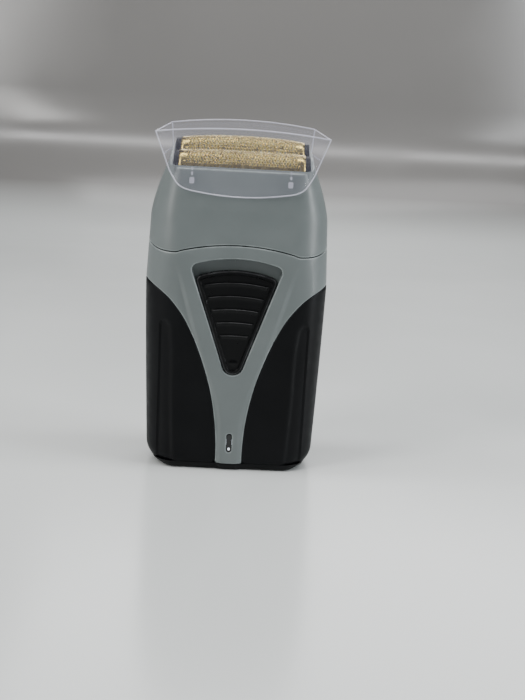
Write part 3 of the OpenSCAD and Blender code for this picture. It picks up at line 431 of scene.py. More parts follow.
class Build:
    """Collects vertices and faces in millimetres and makes an object of them."""

    def __init__(self):
        self.verts, self.faces, self.edge = [], [], []

    def add(self, points, faces, edge=None):
        start = len(self.verts)
        self.verts += [tuple(p) for p in points]
        self.edge += list(edge) if edge is not None else [9.0] * len(points)
        self.faces += [tuple(int(i) + start for i in f) for f in faces]
        return start

    def patch(self, patch):
        return self.add(patch.point, patch.faces, patch.edge_distance)

    def flat(self, patch, y, edge=None):
        """Adds a patch drawn in front view, upright in the plane at y."""
        return self.add(in_plane(patch.at, y), patch.faces, edge)

    def slab(self, loops, spacing, front, back, wear_and_highlight_at=9.0):
        """A flat piece between two planes, drawn in front view."""
        face = Patch(loops, spacing)
        for y in (front, back):
            self.flat(face, y, [wear_and_highlight_at] * len(face.at))
        for loop in loops:
            self.strip(in_plane(loop, front), in_plane(loop, back))

    def strip(self, ring_a, ring_b, closed=True):
        """Quads between two rings of points with the same count."""
        n = len(ring_a)
        start = self.add(np.vstack([ring_a, ring_b]), [])
        last = n if closed else n - 1
        for i in range(last):
            j = (i + 1) % n
            self.faces.append((start + i, start + j, start + n + j, start + n + i))

    def make(self, name, thickness=0.0, sharp=38, weld=0.004):
        mesh = bpy.data.meshes.new(name)
        mesh.from_pydata([(x * MM, y * MM, z * MM) for x, y, z in self.verts], [], self.faces)
        wear_and_highlight = mesh.attributes.new("edge_distance", "FLOAT", "POINT")
        wear_and_highlight.data.foreach_set("value", np.array(self.edge, np.float32))
        bm = bmesh.new()
        bm.from_mesh(mesh)
        bmesh.ops.remove_doubles(bm, verts=bm.verts, dist=weld * MM)
        bmesh.ops.dissolve_degenerate(bm, edges=bm.edges, dist=weld * MM * 0.1)
        bmesh.ops.recalc_face_normals(bm, faces=bm.faces)
        bm.to_mesh(mesh)
        bm.free()
        obj = bpy.data.objects.new(name, mesh)
        bpy.context.scene.collection.objects.link(obj)
        if thickness:
            wall = obj.modifiers.new("wall", "SOLIDIFY")
            wall.thickness = thickness * MM
            wall.offset = -1
        smooth_shade(obj, sharp)
        return obj


def smooth_shade(obj, sharp):
    obj.data.polygons.foreach_set("use_smooth", [True] * len(obj.data.polygons))
    obj.data.set_sharp_from_angle(angle=math.radians(sharp))


def faces_out(obj, inside_point):
    """Turns the faces of an open surface away from a point in millimetres."""
    bm = bmesh.new()
    bm.from_mesh(obj.data)
    centre = Vector(inside_point) * MM
    outward = sum(f.calc_area() * f.normal.dot(f.calc_center_median() - centre) for f in bm.faces)
    if outward < 0:
        bmesh.ops.reverse_faces(bm, faces=bm.faces)
    bm.to_mesh(obj.data)
    bm.free()


def finish_piece(obj, body, material, replaces=()):
    obj.data.materials.clear()
    obj.data.materials.append(material)
    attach(obj, body)
    if replaces:
        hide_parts(*replaces)
    return obj


# ---------------- materials
def mix_colours(nodes, links, factor, first, second):
    """Goes from the first colour to the second; each is three numbers or the socket that gives it."""
    mix = nodes.new("ShaderNodeMix")
    mix.data_type = "RGBA"
    links.new(factor, mix.inputs[0])
    for socket, colour in ((mix.inputs[6], first), (mix.inputs[7], second)):
        if isinstance(colour, tuple):
            socket.default_value = (*colour, 1)
        else:
            links.new(colour, socket)
    return mix.outputs[2]


def noise(nodes, links, where, scale, detail=3.0):
    node = nodes.new("ShaderNodeTexNoise")
    node.inputs["Scale"].default_value = scale
    node.inputs["Detail"].default_value = detail
    links.new(where, node.inputs["Vector"])
    return node.outputs["Fac"]


def spread(nodes, links, value, low_in, high_in, low_out, high_out):
    node = nodes.new("ShaderNodeMapRange")
    limits = (("From Min", low_in), ("From Max", high_in), ("To Min", low_out), ("To Max", high_out))
    for name, number in limits:
        node.inputs[name].default_value = number
    links.new(value, node.inputs["Value"])
    return node.outputs["Result"]


def finish_of(name, dark, light, rough, grain=3000, grain_mm=0.02, grain_strength=0.25, blotch=70,
              wear_and_highlight=None, **sockets):
    """A procedural finish: blotchy colour and gloss, a fine grain, and if given an edge colour, lighter
    edges: rubbed wear and painted highlight.
    """
    mat = bpy.data.materials.new(name)
    mat.use_nodes = True
    nodes, links = mat.node_tree.nodes, mat.node_tree.links
    shader = nodes["Principled BSDF"]
    where = nodes.new("ShaderNodeTexCoord").outputs["Object"]
    cloud = noise(nodes, links, where, blotch)
    fine = noise(nodes, links, where, grain, 5.0)
    colour = mix_colours(nodes, links, spread(nodes, links, cloud, 0.3, 0.7, 0, 1), dark, light)
    # Lighter colour near outlines and ridge crests, from the edge_distance attribute: partly rubbed wear,
    # partly painted highlight.
    if wear_and_highlight:
        edge = nodes.new("ShaderNodeAttribute")
        edge.attribute_name = "edge_distance"
        near = spread(nodes, links, edge.outputs["Fac"], 0.1, 0.55, 1, 0)
        patchy = spread(nodes, links, noise(nodes, links, where, 260), 0.35, 0.65, 0.25, 1)
        both = nodes.new("ShaderNodeMath")
        both.operation = "MULTIPLY"
        links.new(near, both.inputs[0])
        links.new(patchy, both.inputs[1])
        colour = mix_colours(nodes, links, both.outputs[0], colour, wear_and_highlight)
    links.new(colour, shader.inputs["Base Color"])
    gloss = noise(nodes, links, where, blotch * 4)
    links.new(spread(nodes, links, gloss, 0.3, 0.7, rough[0], rough[1]), shader.inputs["Roughness"])
    bump = nodes.new("ShaderNodeBump")
    bump.inputs["Strength"].default_value = grain_strength
    bump.inputs["Distance"].default_value = grain_mm * MM
    links.new(fine, bump.inputs["Height"])
    links.new(bump.outputs["Normal"], shader.inputs["Normal"])
    for socket, value in sockets.items():
        shader.inputs[socket.replace("_", " ")].default_value = value
    return mat


def housing_grey():
    # The last colour lightens edges and the head's rim: rubbed wear and painted highlight.
    return finish_of("housing_grey", (0.120, 0.138, 0.138), (0.137, 0.156, 0.156), (0.34, 0.44),
                     grain=2600, grain_mm=0.02, grain_strength=0.16, wear_and_highlight=(0.25, 0.28, 0.28))


def grip_black():
    # The last colour lightens the grips' edges: rubbed wear and painted highlight.
    return finish_of("grip_black", (0.0020, 0.0022, 0.0028), (0.0036, 0.0039, 0.0047), (0.42, 0.54),
                     grain=3600, grain_mm=0.03, grain_strength=0.3, wear_and_highlight=(0.012, 0.013, 0.015),
                     Specular_IOR_Level=0.13)


def switch_black():
    # The last colour is far lighter than the black: painted highlight on the ridge crests and border, with
    # some rubbed wear.
    return finish_of("switch_black", (0.0018, 0.0019, 0.0022), (0.0030, 0.0032, 0.0036), (0.26, 0.34),
                     grain=3200, grain_mm=0.012, grain_strength=0.15, wear_and_highlight=(0.060, 0.060, 0.063),
                     Specular_IOR_Level=0.16)


def gold():
    return finish_of("gold_foil", (0.34, 0.25, 0.075), (0.47, 0.36, 0.12), (0.22, 0.32),
                     grain=1800, grain_mm=0.01, grain_strength=0.12, blotch=200, Metallic=1.0)


def clear_plastic():
    return finish_of("clear_cap", (0.46, 0.46, 0.58), (0.54, 0.54, 0.66), (0.05, 0.09),
                     grain=900, grain_mm=0.01, grain_strength=0.08, Alpha=0.06, IOR=1.46)


# A lighter, half opaque finish for the cap's edge beads and catches: painted highlight where the clear edges
# catch the light.
def cap_edge_highlight_finish():
    return finish_of("cap_edge_highlight", (0.58, 0.58, 0.68), (0.72, 0.72, 0.80), (0.10, 0.18),
                     grain=900, grain_mm=0.01, grain_strength=0.08, Alpha=0.5, IOR=1.46)


def smoked_glass():
    return finish_of("smoked_lens", (0.006, 0.006, 0.007), (0.010, 0.010, 0.011), (0.08, 0.14), grain=900,
                     grain_mm=0.005, IOR=1.5)


def led_body():
    return finish_of("led", (0.75, 0.80, 0.86), (0.86, 0.90, 0.95), (0.15, 0.25), grain=900,
                     Emission_Color=(0.8, 0.9, 1.0, 1), Emission_Strength=0.9)


def inner_finishes():
    """Finishes of the pieces inside, by the record's slot."""
    return {
        "black_plastic": finish_of("black_plastic", (0.0022, 0.0024, 0.0028), (0.0040, 0.0043, 0.0048),
                                   (0.40, 0.52), Specular_IOR_Level=0.15),
        "dark_plastic": finish_of("dark_plastic", (0.020, 0.020, 0.022), (0.030, 0.030, 0.032), (0.42, 0.55)),
        "seal_rubber": finish_of("seal_rubber", (0.012, 0.012, 0.012), (0.020, 0.020, 0.020), (0.65, 0.8)),
        "screw_steel": finish_of("screw_steel", (0.42, 0.42, 0.43), (0.55, 0.55, 0.56), (0.22, 0.36),
                                 grain=1500, Metallic=1.0),
        "motor_steel": finish_of("motor_steel", (0.50, 0.50, 0.51), (0.60, 0.60, 0.61), (0.25, 0.40),
                                 grain=1200, Metallic=1.0),
        # Darker than the other steels: painted shade for the inside of the head seen through the foil holes;
        # the springs share it.
        "blade_steel": finish_of("blade_steel", (0.14, 0.14, 0.145), (0.20, 0.20, 0.205), (0.30, 0.42),
                                 grain=1500, Metallic=1.0),
        "magnet": finish_of("magnet", (0.07, 0.07, 0.075), (0.11, 0.11, 0.115), (0.45, 0.6), Metallic=0.6),
        "bronze": finish_of("bronze", (0.45, 0.29, 0.13), (0.58, 0.39, 0.19), (0.25, 0.4), Metallic=1.0),
        "white_plastic": finish_of("white_plastic", (0.66, 0.66, 0.63), (0.76, 0.76, 0.73), (0.35, 0.48)),
        "cell_wrap": finish_of("cell_wrap", (0.05, 0.16, 0.30), (0.08, 0.22, 0.38), (0.22, 0.35)),
        "board": finish_of("board", (0.02, 0.12, 0.05), (0.03, 0.17, 0.08), (0.3, 0.45)),
        "lead_red": finish_of("lead_red", (0.38, 0.02, 0.02), (0.50, 0.04, 0.03), (0.4, 0.55)),
    }


# ---------------- housing pieces
SHELL_T, HEAD_T = 1.1, 0.55
BASE_V = float(v_of(BASE_T))
STEP = 1.0             # distance between the points of a patch
SHELL_EDGE_R, GRIP_EDGE_R, HEAD_EDGE_R = 0.32, 0.35, 0.3
LENS_SLOT_W, LENS_SLOT_H, LENS_W = 1.9, 6.6, 1.78
NECK_SLOT = (2.3, 46.3, 55.0)           # half width, foot and top of the slot for the button's neck
NECK = (2.2, 46.4, 51.4)                # the same of the neck
SCREW_HOLE_DEPTH = 1.6


def rear_form(u, v):
    return form(u, v) * np.array([1, -1, 1])


def grip_line():
    edge = grip_edge()
    line = np.stack([u_of(edge[:, 0], edge[:, 1]), v_of(edge[:, 1])], 1)
    return np.vstack([line, [SIDE_U, line[-1, 1] + 0.15]])


def seam_line(drop=0.0):
    u = np.linspace(-SIDE_U, SIDE_U, 121)
    return np.stack([u, seam_z(form(u, 75 + 0 * u)[:, 0]) - drop], 1)


def shell_loop():
    right = grip_line()
    left = right * [-1, 1]
    return resample(np.vstack([seam_line(SEAM_GAP), right[::-1], left]), STEP)


def add_walls(build, ring, depth_of):
    """Walls from a ring of points straight back to the depth that depth_of gives."""
    far = ring.copy()
    far[:, 1] = depth_of(ring)
    build.strip(ring, far)
    return far


def upright(half, foot, top):
    """Corners of a rectangle about the middle line, in front view."""
    return np.array([(-half, foot), (half, foot), (half, top), (-half, top)])


def front_shell(material):
    recess = resample(recess_outline(0, 0), 0.7)
    lens_z = (high("indicator_lens")[2] + low("indicator_lens")[2]) / 2
    slot = slot_outline(0, lens_z, LENS_SLOT_W, LENS_SLOT_H)
    slot[:, 1] = v_of(slot[:, 1])
    patch = Patch([shell_loop(), recess, slot], STEP, SHELL_EDGE_R, lines=body_lines())
    patch.lift(form, body_relief)
    build = Build()
    build.patch(patch)
    far = add_walls(build, patch.point[patch.loops[1]], lambda ring: POCKET_Y)
    floor = Patch([far[:, [0, 2]], upright(*NECK_SLOT)], 4.0)
    build.flat(floor, POCKET_Y)
    obj = build.make("front_shell_skin", SHELL_T)
    faces_out(obj, (0, 0, 40))
    return finish_piece(obj, "body", material, ["front_shell"])


def rear_shell(material):
    holes = []
    for side in (-1, 1):
        ring = np.array(arc(side * SHELL_SCREW_X, SHELL_SCREW_Z, SCREW_HOLE_R, 0, 360, 20)[:-1])
        holes.append(np.stack([u_of(ring[:, 0], ring[:, 1]), ring[:, 1]], 1))
    patch = Patch([shell_loop(), *holes], STEP, SHELL_EDGE_R, lines=body_lines())
    patch.lift(rear_form, body_relief, -1)
    build = Build()
    build.patch(patch)
    for hole in patch.loops[1:]:
        add_walls(build, patch.point[hole], lambda ring: ring[:, 1] - SCREW_HOLE_DEPTH)
    obj = build.make("rear_shell_skin", SHELL_T)
    faces_out(obj, (0, 0, 40))
    return finish_piece(obj, "body", material, ["rear_shell"])


def grip(side, name, material):
    front = grip_line()
    rear = front[::-1].copy()
    rear[:, 0] = BACK_U - rear[:, 0]
    loop = resample(np.vstack([front, rear[1:]]), STEP)
    patch = Patch([loop], STEP, GRIP_EDGE_R, [front, rear], grip_lines()).lift(form, grip_relief)
    patch.point[:, 0] *= side
    build = Build()
    build.patch(patch)
    obj = build.make(name + "_skin", SHELL_T)
    faces_out(obj, (0, 0, 40))
    return finish_piece(obj, "body", material, [name])


BASE_SKIN_T, BASE_GAP = 0.9, 0.06
BASE_CHAMFER, BASE_CHAMFER_RISE = 0.35, 0.05


def base_cap(material):
    """The black base: a band round the bottom edge and a plate with the jack and screw holes."""
    around = np.linspace(-BACK_U, BACK_U, 241)[:-1]
    heights = list(np.linspace(float(v_of(0.0)), BASE_V - BASE_GAP, 9))
    build = Build()
    rows = [form(around, v + 0 * around) for v in heights]
    for row in rows:
        row[:, 1] += np.sign(row[:, 1]) * body_relief(row[:, 0], row[:, 2])
    top = rows[-1].copy()
    inset = 1 - BASE_CHAMFER / np.hypot(top[:, 0], top[:, 1])
    top[:, 0] *= inset
    top[:, 1] *= inset
    top[:, 2] += BASE_CHAMFER_RISE
    rows.append(top)
    for a, b in zip(rows[:-1], rows[1:]):
        build.strip(a, b)
    outline = rows[0][:, :2]
    jack = np.array(arc(0, JACK_Y, JACK_HOLE_R, 0, 360, 24)[:-1])
    holes = [jack]
    for side in (-1, 1):
        holes.append(np.array(arc(side * BASE_SCREW_X, 0, SCREW_HOLE_R, 0, 360, 20)[:-1]))
    plate = Patch([outline, *holes], 3.0)
    build.add([(x, y, 0) for x, y in plate.at], plate.faces)
    for hole in holes:
        ring = np.column_stack([hole, 0 * hole[:, 0]])
        build.strip(ring, ring + [0, 0, 1.0])
    obj = build.make("base_cap_skin", BASE_SKIN_T)
    faces_out(obj, (0, 0, 10))
    return finish_piece(obj, "body", material, ["base_cap"])


SEAT_GAP, SEAT_DROP = 0.12, 4.0         # room round the foil frame, and how deep it sits
OPENING = (20.2, 10.45, 0.5)            # half width, half depth and corner radius


def rim_height(u, surface):
    """Height of the sloping rim along the form, closed in on by steps."""
    z = RIM_Z + 0 * u
    for _ in range(6):
        z = RIM_Z + (surface(u, z)[:, 1] + RIM_HALF_D) * RIM_SLOPE
    return z


def head_side(surface, out):
    u = seam_line()[:, 0]
    lower = seam_line()
    upper = np.stack([u, rim_height(u, surface)], 1)
    side_steps = 26
    right = np.linspace(upper[-1], lower[-1], side_steps + 1)[1:-1]
    left = np.linspace(lower[0], upper[0], side_steps + 1)[1:-1]
    loop = np.vstack([upper, right, lower[::-1], left])
    patch = Patch([loop], STEP, HEAD_EDGE_R, [lower, upper]).lift(surface, None, out)
    rim = patch.point[[patch.loops[0][k] for k in range(len(upper))]]
    return patch, rim


def head_housing(material):
    front, front_rim = head_side(form, 1)
    rear, rear_rim = head_side(rear_form, -1)
    build = Build()
    build.patch(front)
    build.patch(rear)
    rim = np.vstack([front_rim, rear_rim[::-1][1:-1]])
    seat = rounded_rect(FRAME_HALF_X + SEAT_GAP, FRAME_HALF_Y + SEAT_GAP, 1.0)
    ring = Patch([rim[:, :2], seat], 3.0)

    def on_plane(points, drop=0.0):
        z = RIM_Z + (points[:, 1] + RIM_HALF_D) * RIM_SLOPE - drop
        return np.column_stack([points, z])

    points = on_plane(ring.at)
    points[ring.loops[0]] = rim
    # The top of the rim gets the edge distance of its rounding all over, so the grey finish lightens it:
    # painted highlight along the rim, with some rubbed wear.
    build.add(points, ring.faces, np.full(len(points), HEAD_EDGE_R))
    build.strip(on_plane(seat), on_plane(seat, SEAT_DROP))
    ledge = Patch([seat, rounded_rect(*OPENING)], 3.0)
    build.add(on_plane(ledge.at, SEAT_DROP), ledge.faces)
    obj = build.make("head_housing_skin", HEAD_T)
    faces_out(obj, (0, 0, 88))
    return finish_piece(obj, "head", material, ["head_housing"])


# ---------------- the slide button
BUTTON_FRONT, BUTTON_BACK = -14.5, -11.5
BUTTON_TOP = RECESS_ARCH - BUTTON_LOW - BUTTON_GAP
BUTTON_EDGE_R = 0.45
BORDER, BORDER_SLOPE, PANEL_DEPTH = 1.05, 0.35, 0.62
RIDGE_PITCH, RIDGE_FIRST, RIDGE_COUNT, RIDGE_BEND = 4.35, 4.2, 5, 50.0
RIDGE_INSET, RIDGE_STEP, RIDGE_CREST = 1.9, 0.30, 0.22
NUB_UP, NUB_RISE = 4.2, 0.35            # the small bump near the button's tip


def button_relief(x, z, edge):
    """How far the button's face stands behind its border, and how much light edge colour it gets, as a
    distance to an edge: rubbed wear and painted highlight near the outline, painted highlight on the ridge
    crests.
    """
    panel = smooth((edge - BORDER) / BORDER_SLOPE)
    depth = PANEL_DEPTH * panel
    wear_and_highlight = edge.copy()
    for k in range(RIDGE_COUNT):
        mid = BUTTON_TOP - RIDGE_FIRST - k * RIDGE_PITCH
        place = z - (mid - x * x / (2 * RIDGE_BEND))
        crest = smooth(1 - np.abs(place - 0.25) / 0.34)
        step = smooth((place + 0.8) / 0.5) * smooth((0.6 - place) / 0.35)
        reach = smooth((edge - RIDGE_INSET) / 0.4)
        depth -= reach * (RIDGE_STEP * step + RIDGE_CREST * crest)
        # The ridge crests take the light edge colour: painted highlight.
        wear_and_highlight = np.where(reach * crest > 0.55, 0.05, wear_and_highlight)
    nub = smooth(1.3 - np.hypot(x / 1.3, (z - RECESS_TIP - NUB_UP) / 0.6))
    return depth - NUB_RISE * nub * panel, wear_and_highlight


def border_lines(outline):
    """Lines beside the button's outline where its border and its panels turn."""
    along = np.gradient(close_loop(outline), axis=0)[:-1]
    inward = np.stack([-along[:, 1], along[:, 0]], 1) / np.hypot(*along.T)[:, None]
    return [outline + inward * d for d in (0.75, BORDER, 1.22, 1.4, RIDGE_INSET, 2.3)]


def ridge_lines():
    """Lines along the bends of the ridges, so that each ridge's edges run clean."""
    offsets = [-0.85, -0.72, -0.58, -0.44, -0.30, -0.1, -0.02, 0.08, 0.17, 0.25, 0.33, 0.42, 0.52, 0.62, 0.75]
    levels = [2.5, 1.5]
    for k in range(RIDGE_COUNT):
        mid = -RIDGE_FIRST - k * RIDGE_PITCH
        levels += [mid + o for o in offsets] + [mid + o for o in (1.5, -1.5, -2.2, -2.9)]
    levels += list(np.arange(mid - 3.4, -36, -0.5))
    x = np.arange(-RECESS_HALF, RECESS_HALF + 0.01, 0.45)
    return [np.column_stack([x, BUTTON_TOP + level - x * x / (2 * RIDGE_BEND)]) for level in levels]


def slide_button(material):
    outline = resample(recess_outline(BUTTON_GAP, BUTTON_LOW), 0.4)
    patch = Patch([outline], 0.7, BUTTON_EDGE_R, lines=ridge_lines() + border_lines(outline))
    depth, wear_and_highlight = button_relief(patch.at[:, 0], patch.at[:, 1], patch.edge_distance)
    points = in_plane(patch.at, BUTTON_FRONT + depth + patch.drop)
    build = Build()
    build.add(points, patch.faces, wear_and_highlight)
    far = add_walls(build, points[patch.loops[0]], lambda ring: BUTTON_BACK)
    build.flat(Patch([far[:, [0, 2]]], 3.0), BUTTON_BACK)
    tail = in_plane(upright(*NECK), high("switch_button")[1])
    build.strip(in_plane(upright(*NECK), BUTTON_BACK), tail)
    build.add(tail, [(0, 1, 2, 3)])
    obj = build.make("switch_button_skin", sharp=50)
    return finish_piece(obj, "switch", material, ["switch_button"])


MARK_RISE, MARK_SUNK, MARK_WEAR_AND_HIGHLIGHT = 0.06, 0.05, 0.1
MARK_X, MARK_Z = -0.35, 70.2
MARK_OUTER, MARK_INNER = (1.3, 2.3), (0.8, 1.8)
BAR_HALF_W, BAR_HALF_H = 0.1, 0.45


def power_mark(material):
    """A small raised ring and bar on the pocket floor above the button; the whole mark gets the light edge
    colour, a painted highlight with some rubbed wear.
    """
    outer = slot_outline(MARK_X, MARK_Z, *MARK_OUTER, 10)
    inner = slot_outline(MARK_X, MARK_Z, *MARK_INNER, 10)
    bar = upright(BAR_HALF_W, MARK_Z - BAR_HALF_H, MARK_Z + BAR_HALF_H) + [MARK_X, 0]
    build = Build()
    for loops in ([outer, inner], [bar]):
        build.slab(loops, 2.0, POCKET_Y - MARK_RISE, POCKET_Y + MARK_SUNK, MARK_WEAR_AND_HIGHLIGHT)
    return finish_piece(build.make("power_mark"), "body", material)


def lens(material):
    """The smoked window of the charge light, a little under the surface of the stem."""
    (_, front, foot), (_, back, top) = low("indicator_lens"), high("indicator_lens")
    outline = slot_outline(0, (foot + top) / 2, LENS_W, top - foot, 10)
    patch = Patch([outline], 0.5, 0.2)
    points = in_plane(patch.at, front + patch.drop)
    build = Build()
    build.add(points, patch.faces, patch.edge_distance)
    far = add_walls(build, points[patch.loops[0]], lambda ring: back)
    build.flat(Patch([far[:, [0, 2]]], 1.0), back)
    obj = build.make("indicator_lens_skin")
    return finish_piece(obj, "body", material, ["indicator_lens"])


SPOT_UP, SPOT_W, SPOT_H = 1.15, 0.75, 0.9
SPOT_OUT, SPOT_IN = 0.06, 0.1


def led_spot(material):
    """The lit spot of the charge light, seen at the foot of its window."""
    _, front, foot = low("indicator_lens")
    build = Build()
    build.slab([slot_outline(0, foot + SPOT_UP, SPOT_W, SPOT_H, 8)], 0.5, front - SPOT_OUT, front + SPOT_IN)
    return finish_piece(build.make("led_spot"), "body", material)


# ---------------- the clear cap
CAP_WALL = 0.9
CAP_BEAD = 0.22        # radius of the rounded edges, which catch the light
CAP_WAIST, CAP_WAIST_Z = 22.8, 99.2
CAP_FRONT_HALF, CAP_FRONT_Z, CAP_FRONT_MID = 27.3, 110.9, 112.7
CAP_REAR_HALF, CAP_REAR_Z = 24.0, 113.0
CAP_MARGIN = 0.35      # kept between the walls and the box of the CAD cap
CAP_SIDE_STEPS = 12
CAP_END_LOW = 0.42     # where the end walls start, along the cap's side edges
FLAP_TURN = ((-21.3, 96.6), (-20.3, 95.1), (-18.6, 93.9), (-16.4, 93.2))
FLAP_HALF, FLAP_BOW, FLAP_BOW_HALF = 14.0, 1.5, 16.0
SNAP_X, SNAP_INSET, SNAP_CORNER_R = 15.6, 0.35, 0.3
# Half width, foot, top and depth of a catch bump and of the two ribs above it.
SNAP_PARTS = ((0.75, 95.3, 97.2, 0.75), (0.3, 97.9, 99.0, 0.4), (0.3, 99.5, 100.4, 0.4))


def cap_flap():
    """The lower edge of a wall, from waist to waist: a shallow bow with turned-up ends."""
    points = [(-CAP_WAIST, CAP_WAIST_Z), *FLAP_TURN]
    for x in np.linspace(-FLAP_HALF, FLAP_HALF, 15):
        points.append((x, CAP_LOW + FLAP_BOW * (abs(x) / FLAP_BOW_HALF) ** 2))
    points += [(-x, z) for x, z in FLAP_TURN[::-1]]
    points.append((CAP_WAIST, CAP_WAIST_Z))
    return soften(np.array(points))


def soften(line, rounds=2):
    """Rounds the corners of an open line by cutting them."""
    for _ in range(rounds):
        quarter = line[:-1] * 0.75 + line[1:] * 0.25
        late = line[:-1] * 0.25 + line[1:] * 0.75
        cut = np.stack([quarter, late], 1).reshape(-1, 2)
        line = np.vstack([line[:1], cut, line[-1:]])
    return line


def cap_wall(top_half, top_z, mid_z):
    """Outline parts of the front or rear wall in front view: flap, right side, top and left side."""
    flap = cap_flap()
    steps = np.linspace(0, 1, CAP_SIDE_STEPS + 1)
    right = np.column_stack([CAP_WAIST + (top_half - CAP_WAIST) * steps,
                             CAP_WAIST_Z + (top_z - CAP_WAIST_Z) * steps])
    x = np.linspace(top_half, -top_half, 41)
    top = np.column_stack([x, mid_z - (mid_z - top_z) * (x / top_half) ** 2])
    return flap, right, top, right[::-1] * [-1, 1]


def tube(build, line, radius, sides=8):
    """A round bead along a line of points, closed with a cap at each end."""
    line = np.asarray(line, float)
    along = np.gradient(line, axis=0)
    along /= np.linalg.norm(along, axis=1)[:, None]
    start = np.array([0.31, 0.94, 0.17])
    side = np.cross(along, start)
    side /= np.linalg.norm(side, axis=1)[:, None]
    other = np.cross(along, side)
    rings = []
    for k in range(sides):
        angle = 2 * math.pi * k / sides
        rings.append(line + radius * (math.cos(angle) * side + math.sin(angle) * other))
    rings = np.stack(rings, 1)
    for a, b in zip(rings[:-1], rings[1:]):
        build.strip(a, b)
    build.add(rings[0], [tuple(range(sides))])
    build.add(rings[-1], [tuple(range(sides))])


def clear_cap(material, highlight_material):
    front = cap_wall(CAP_FRONT_HALF, CAP_FRONT_Z, CAP_FRONT_MID)
    rear = cap_wall(CAP_REAR_HALF, CAP_REAR_Z, CAP_TOP - CAP_MARGIN)
    y = CAP_HALF_D - CAP_MARGIN
    build = Build()
    for parts, place in ((front, -y), (rear, y)):
        loop = np.vstack([part[:-1] for part in parts])
        build.flat(Patch([loop], 3.0), place)
    build.strip(in_plane(front[2], -y), in_plane(rear[2], y), closed=False)
    first = int(CAP_END_LOW * CAP_SIDE_STEPS)
    last = CAP_SIDE_STEPS - first
    for k, cut in ((1, slice(first, None)), (3, slice(0, last + 1))):
        build.strip(in_plane(front[k][cut], -y), in_plane(rear[k][cut], y), closed=False)
    obj = build.make("protective_cap_skin", CAP_WALL, sharp=30)
    faces_out(obj, (0, 0, 105))
    finish_piece(obj, "cap", material, ["protective_cap"])
    # Beads of the lighter finish along every edge: painted highlight of the clear edges.
    beads = Build()
    for parts, place in ((front, -y), (rear, y)):
        for part in parts:
            tube(beads, in_plane(part, place), CAP_BEAD)
    for k in (1, 3):
        at_low, at_top = (first, -1) if k == 1 else (last, 0)
        for i in (at_low, at_top):
            a, b = in_plane(front[k], -y)[i], in_plane(rear[k], y)[i]
            tube(beads, np.linspace(a, b, 9), CAP_BEAD)
    finish_piece(beads.make("protective_cap_edge_highlights", sharp=80), "cap", highlight_material)
    snaps(highlight_material, y)


def snaps(material, y):
    """Two catch bumps inside the front flap, each under two short ribs, in the lighter finish of the edges:
    painted highlight.
    """
    build = Build()
    front = SNAP_INSET - y
    for x in (-SNAP_X, SNAP_X):
        for half, foot, top, depth in SNAP_PARTS:
            loop = rounded_rect(half, (top - foot) / 2, SNAP_CORNER_R, 4) + [x, (top + foot) / 2]
            build.slab([loop], 1.0, front, front + depth)
    finish_piece(build.make("cap_snaps"), "cap", material)


# ---------------- cutter springs
SPRING_WIRE, SPRING_TURNS, SPRING_STEPS, SPRING_TRAVEL = 0.22, 4, 24, 1.0


def cutter_springs(side, material):
    """The two springs under a cutter, carried with its slide."""
    node = side + "_springs"
    a, b = low(node), high(node)
    radius = (b[1] - a[1]) / 2 - SPRING_WIRE
    mid_y, reach = (a[1] + b[1]) / 2, b[0] - radius - SPRING_WIRE
    turn = np.linspace(0, 2 * math.pi * SPRING_TURNS, SPRING_STEPS * SPRING_TURNS + 1)
    height = np.linspace(a[2] + SPRING_WIRE, b[2] - SPRING_WIRE, len(turn))
    build = Build()
    for x in (-reach, reach):
        coil = np.column_stack([x + radius * np.cos(turn), mid_y + radius * np.sin(turn), height])
        tube(build, coil, SPRING_WIRE)
    obj = build.make(node + "_coils", sharp=60)
    finish_piece(obj, side + "_slide", material, [node])
    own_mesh(obj)


# ---------------- foils
CELL_X, CELL_S = 0.9, 0.78
HOLE_R = 0.31
FOIL_T = 0.12
BAND = 2.0             # plain band at each end of a foil
SKIRT = 2.6            # straight run of a foil below its arc
HOLED = 0.86           # share of the arc that has holes
FOIL_SUNK = 0.01       # how far the sheet lies under the surface of the CAD foil
FRONT_CROWN, REAR_CROWN = 0.45, 1.2     # how much higher a foil is in the middle
AROUND_CELL = ((0, 0), (1, 0), (2, 0), (2, 1), (2, 2), (1, 2), (0, 2), (0, 1))


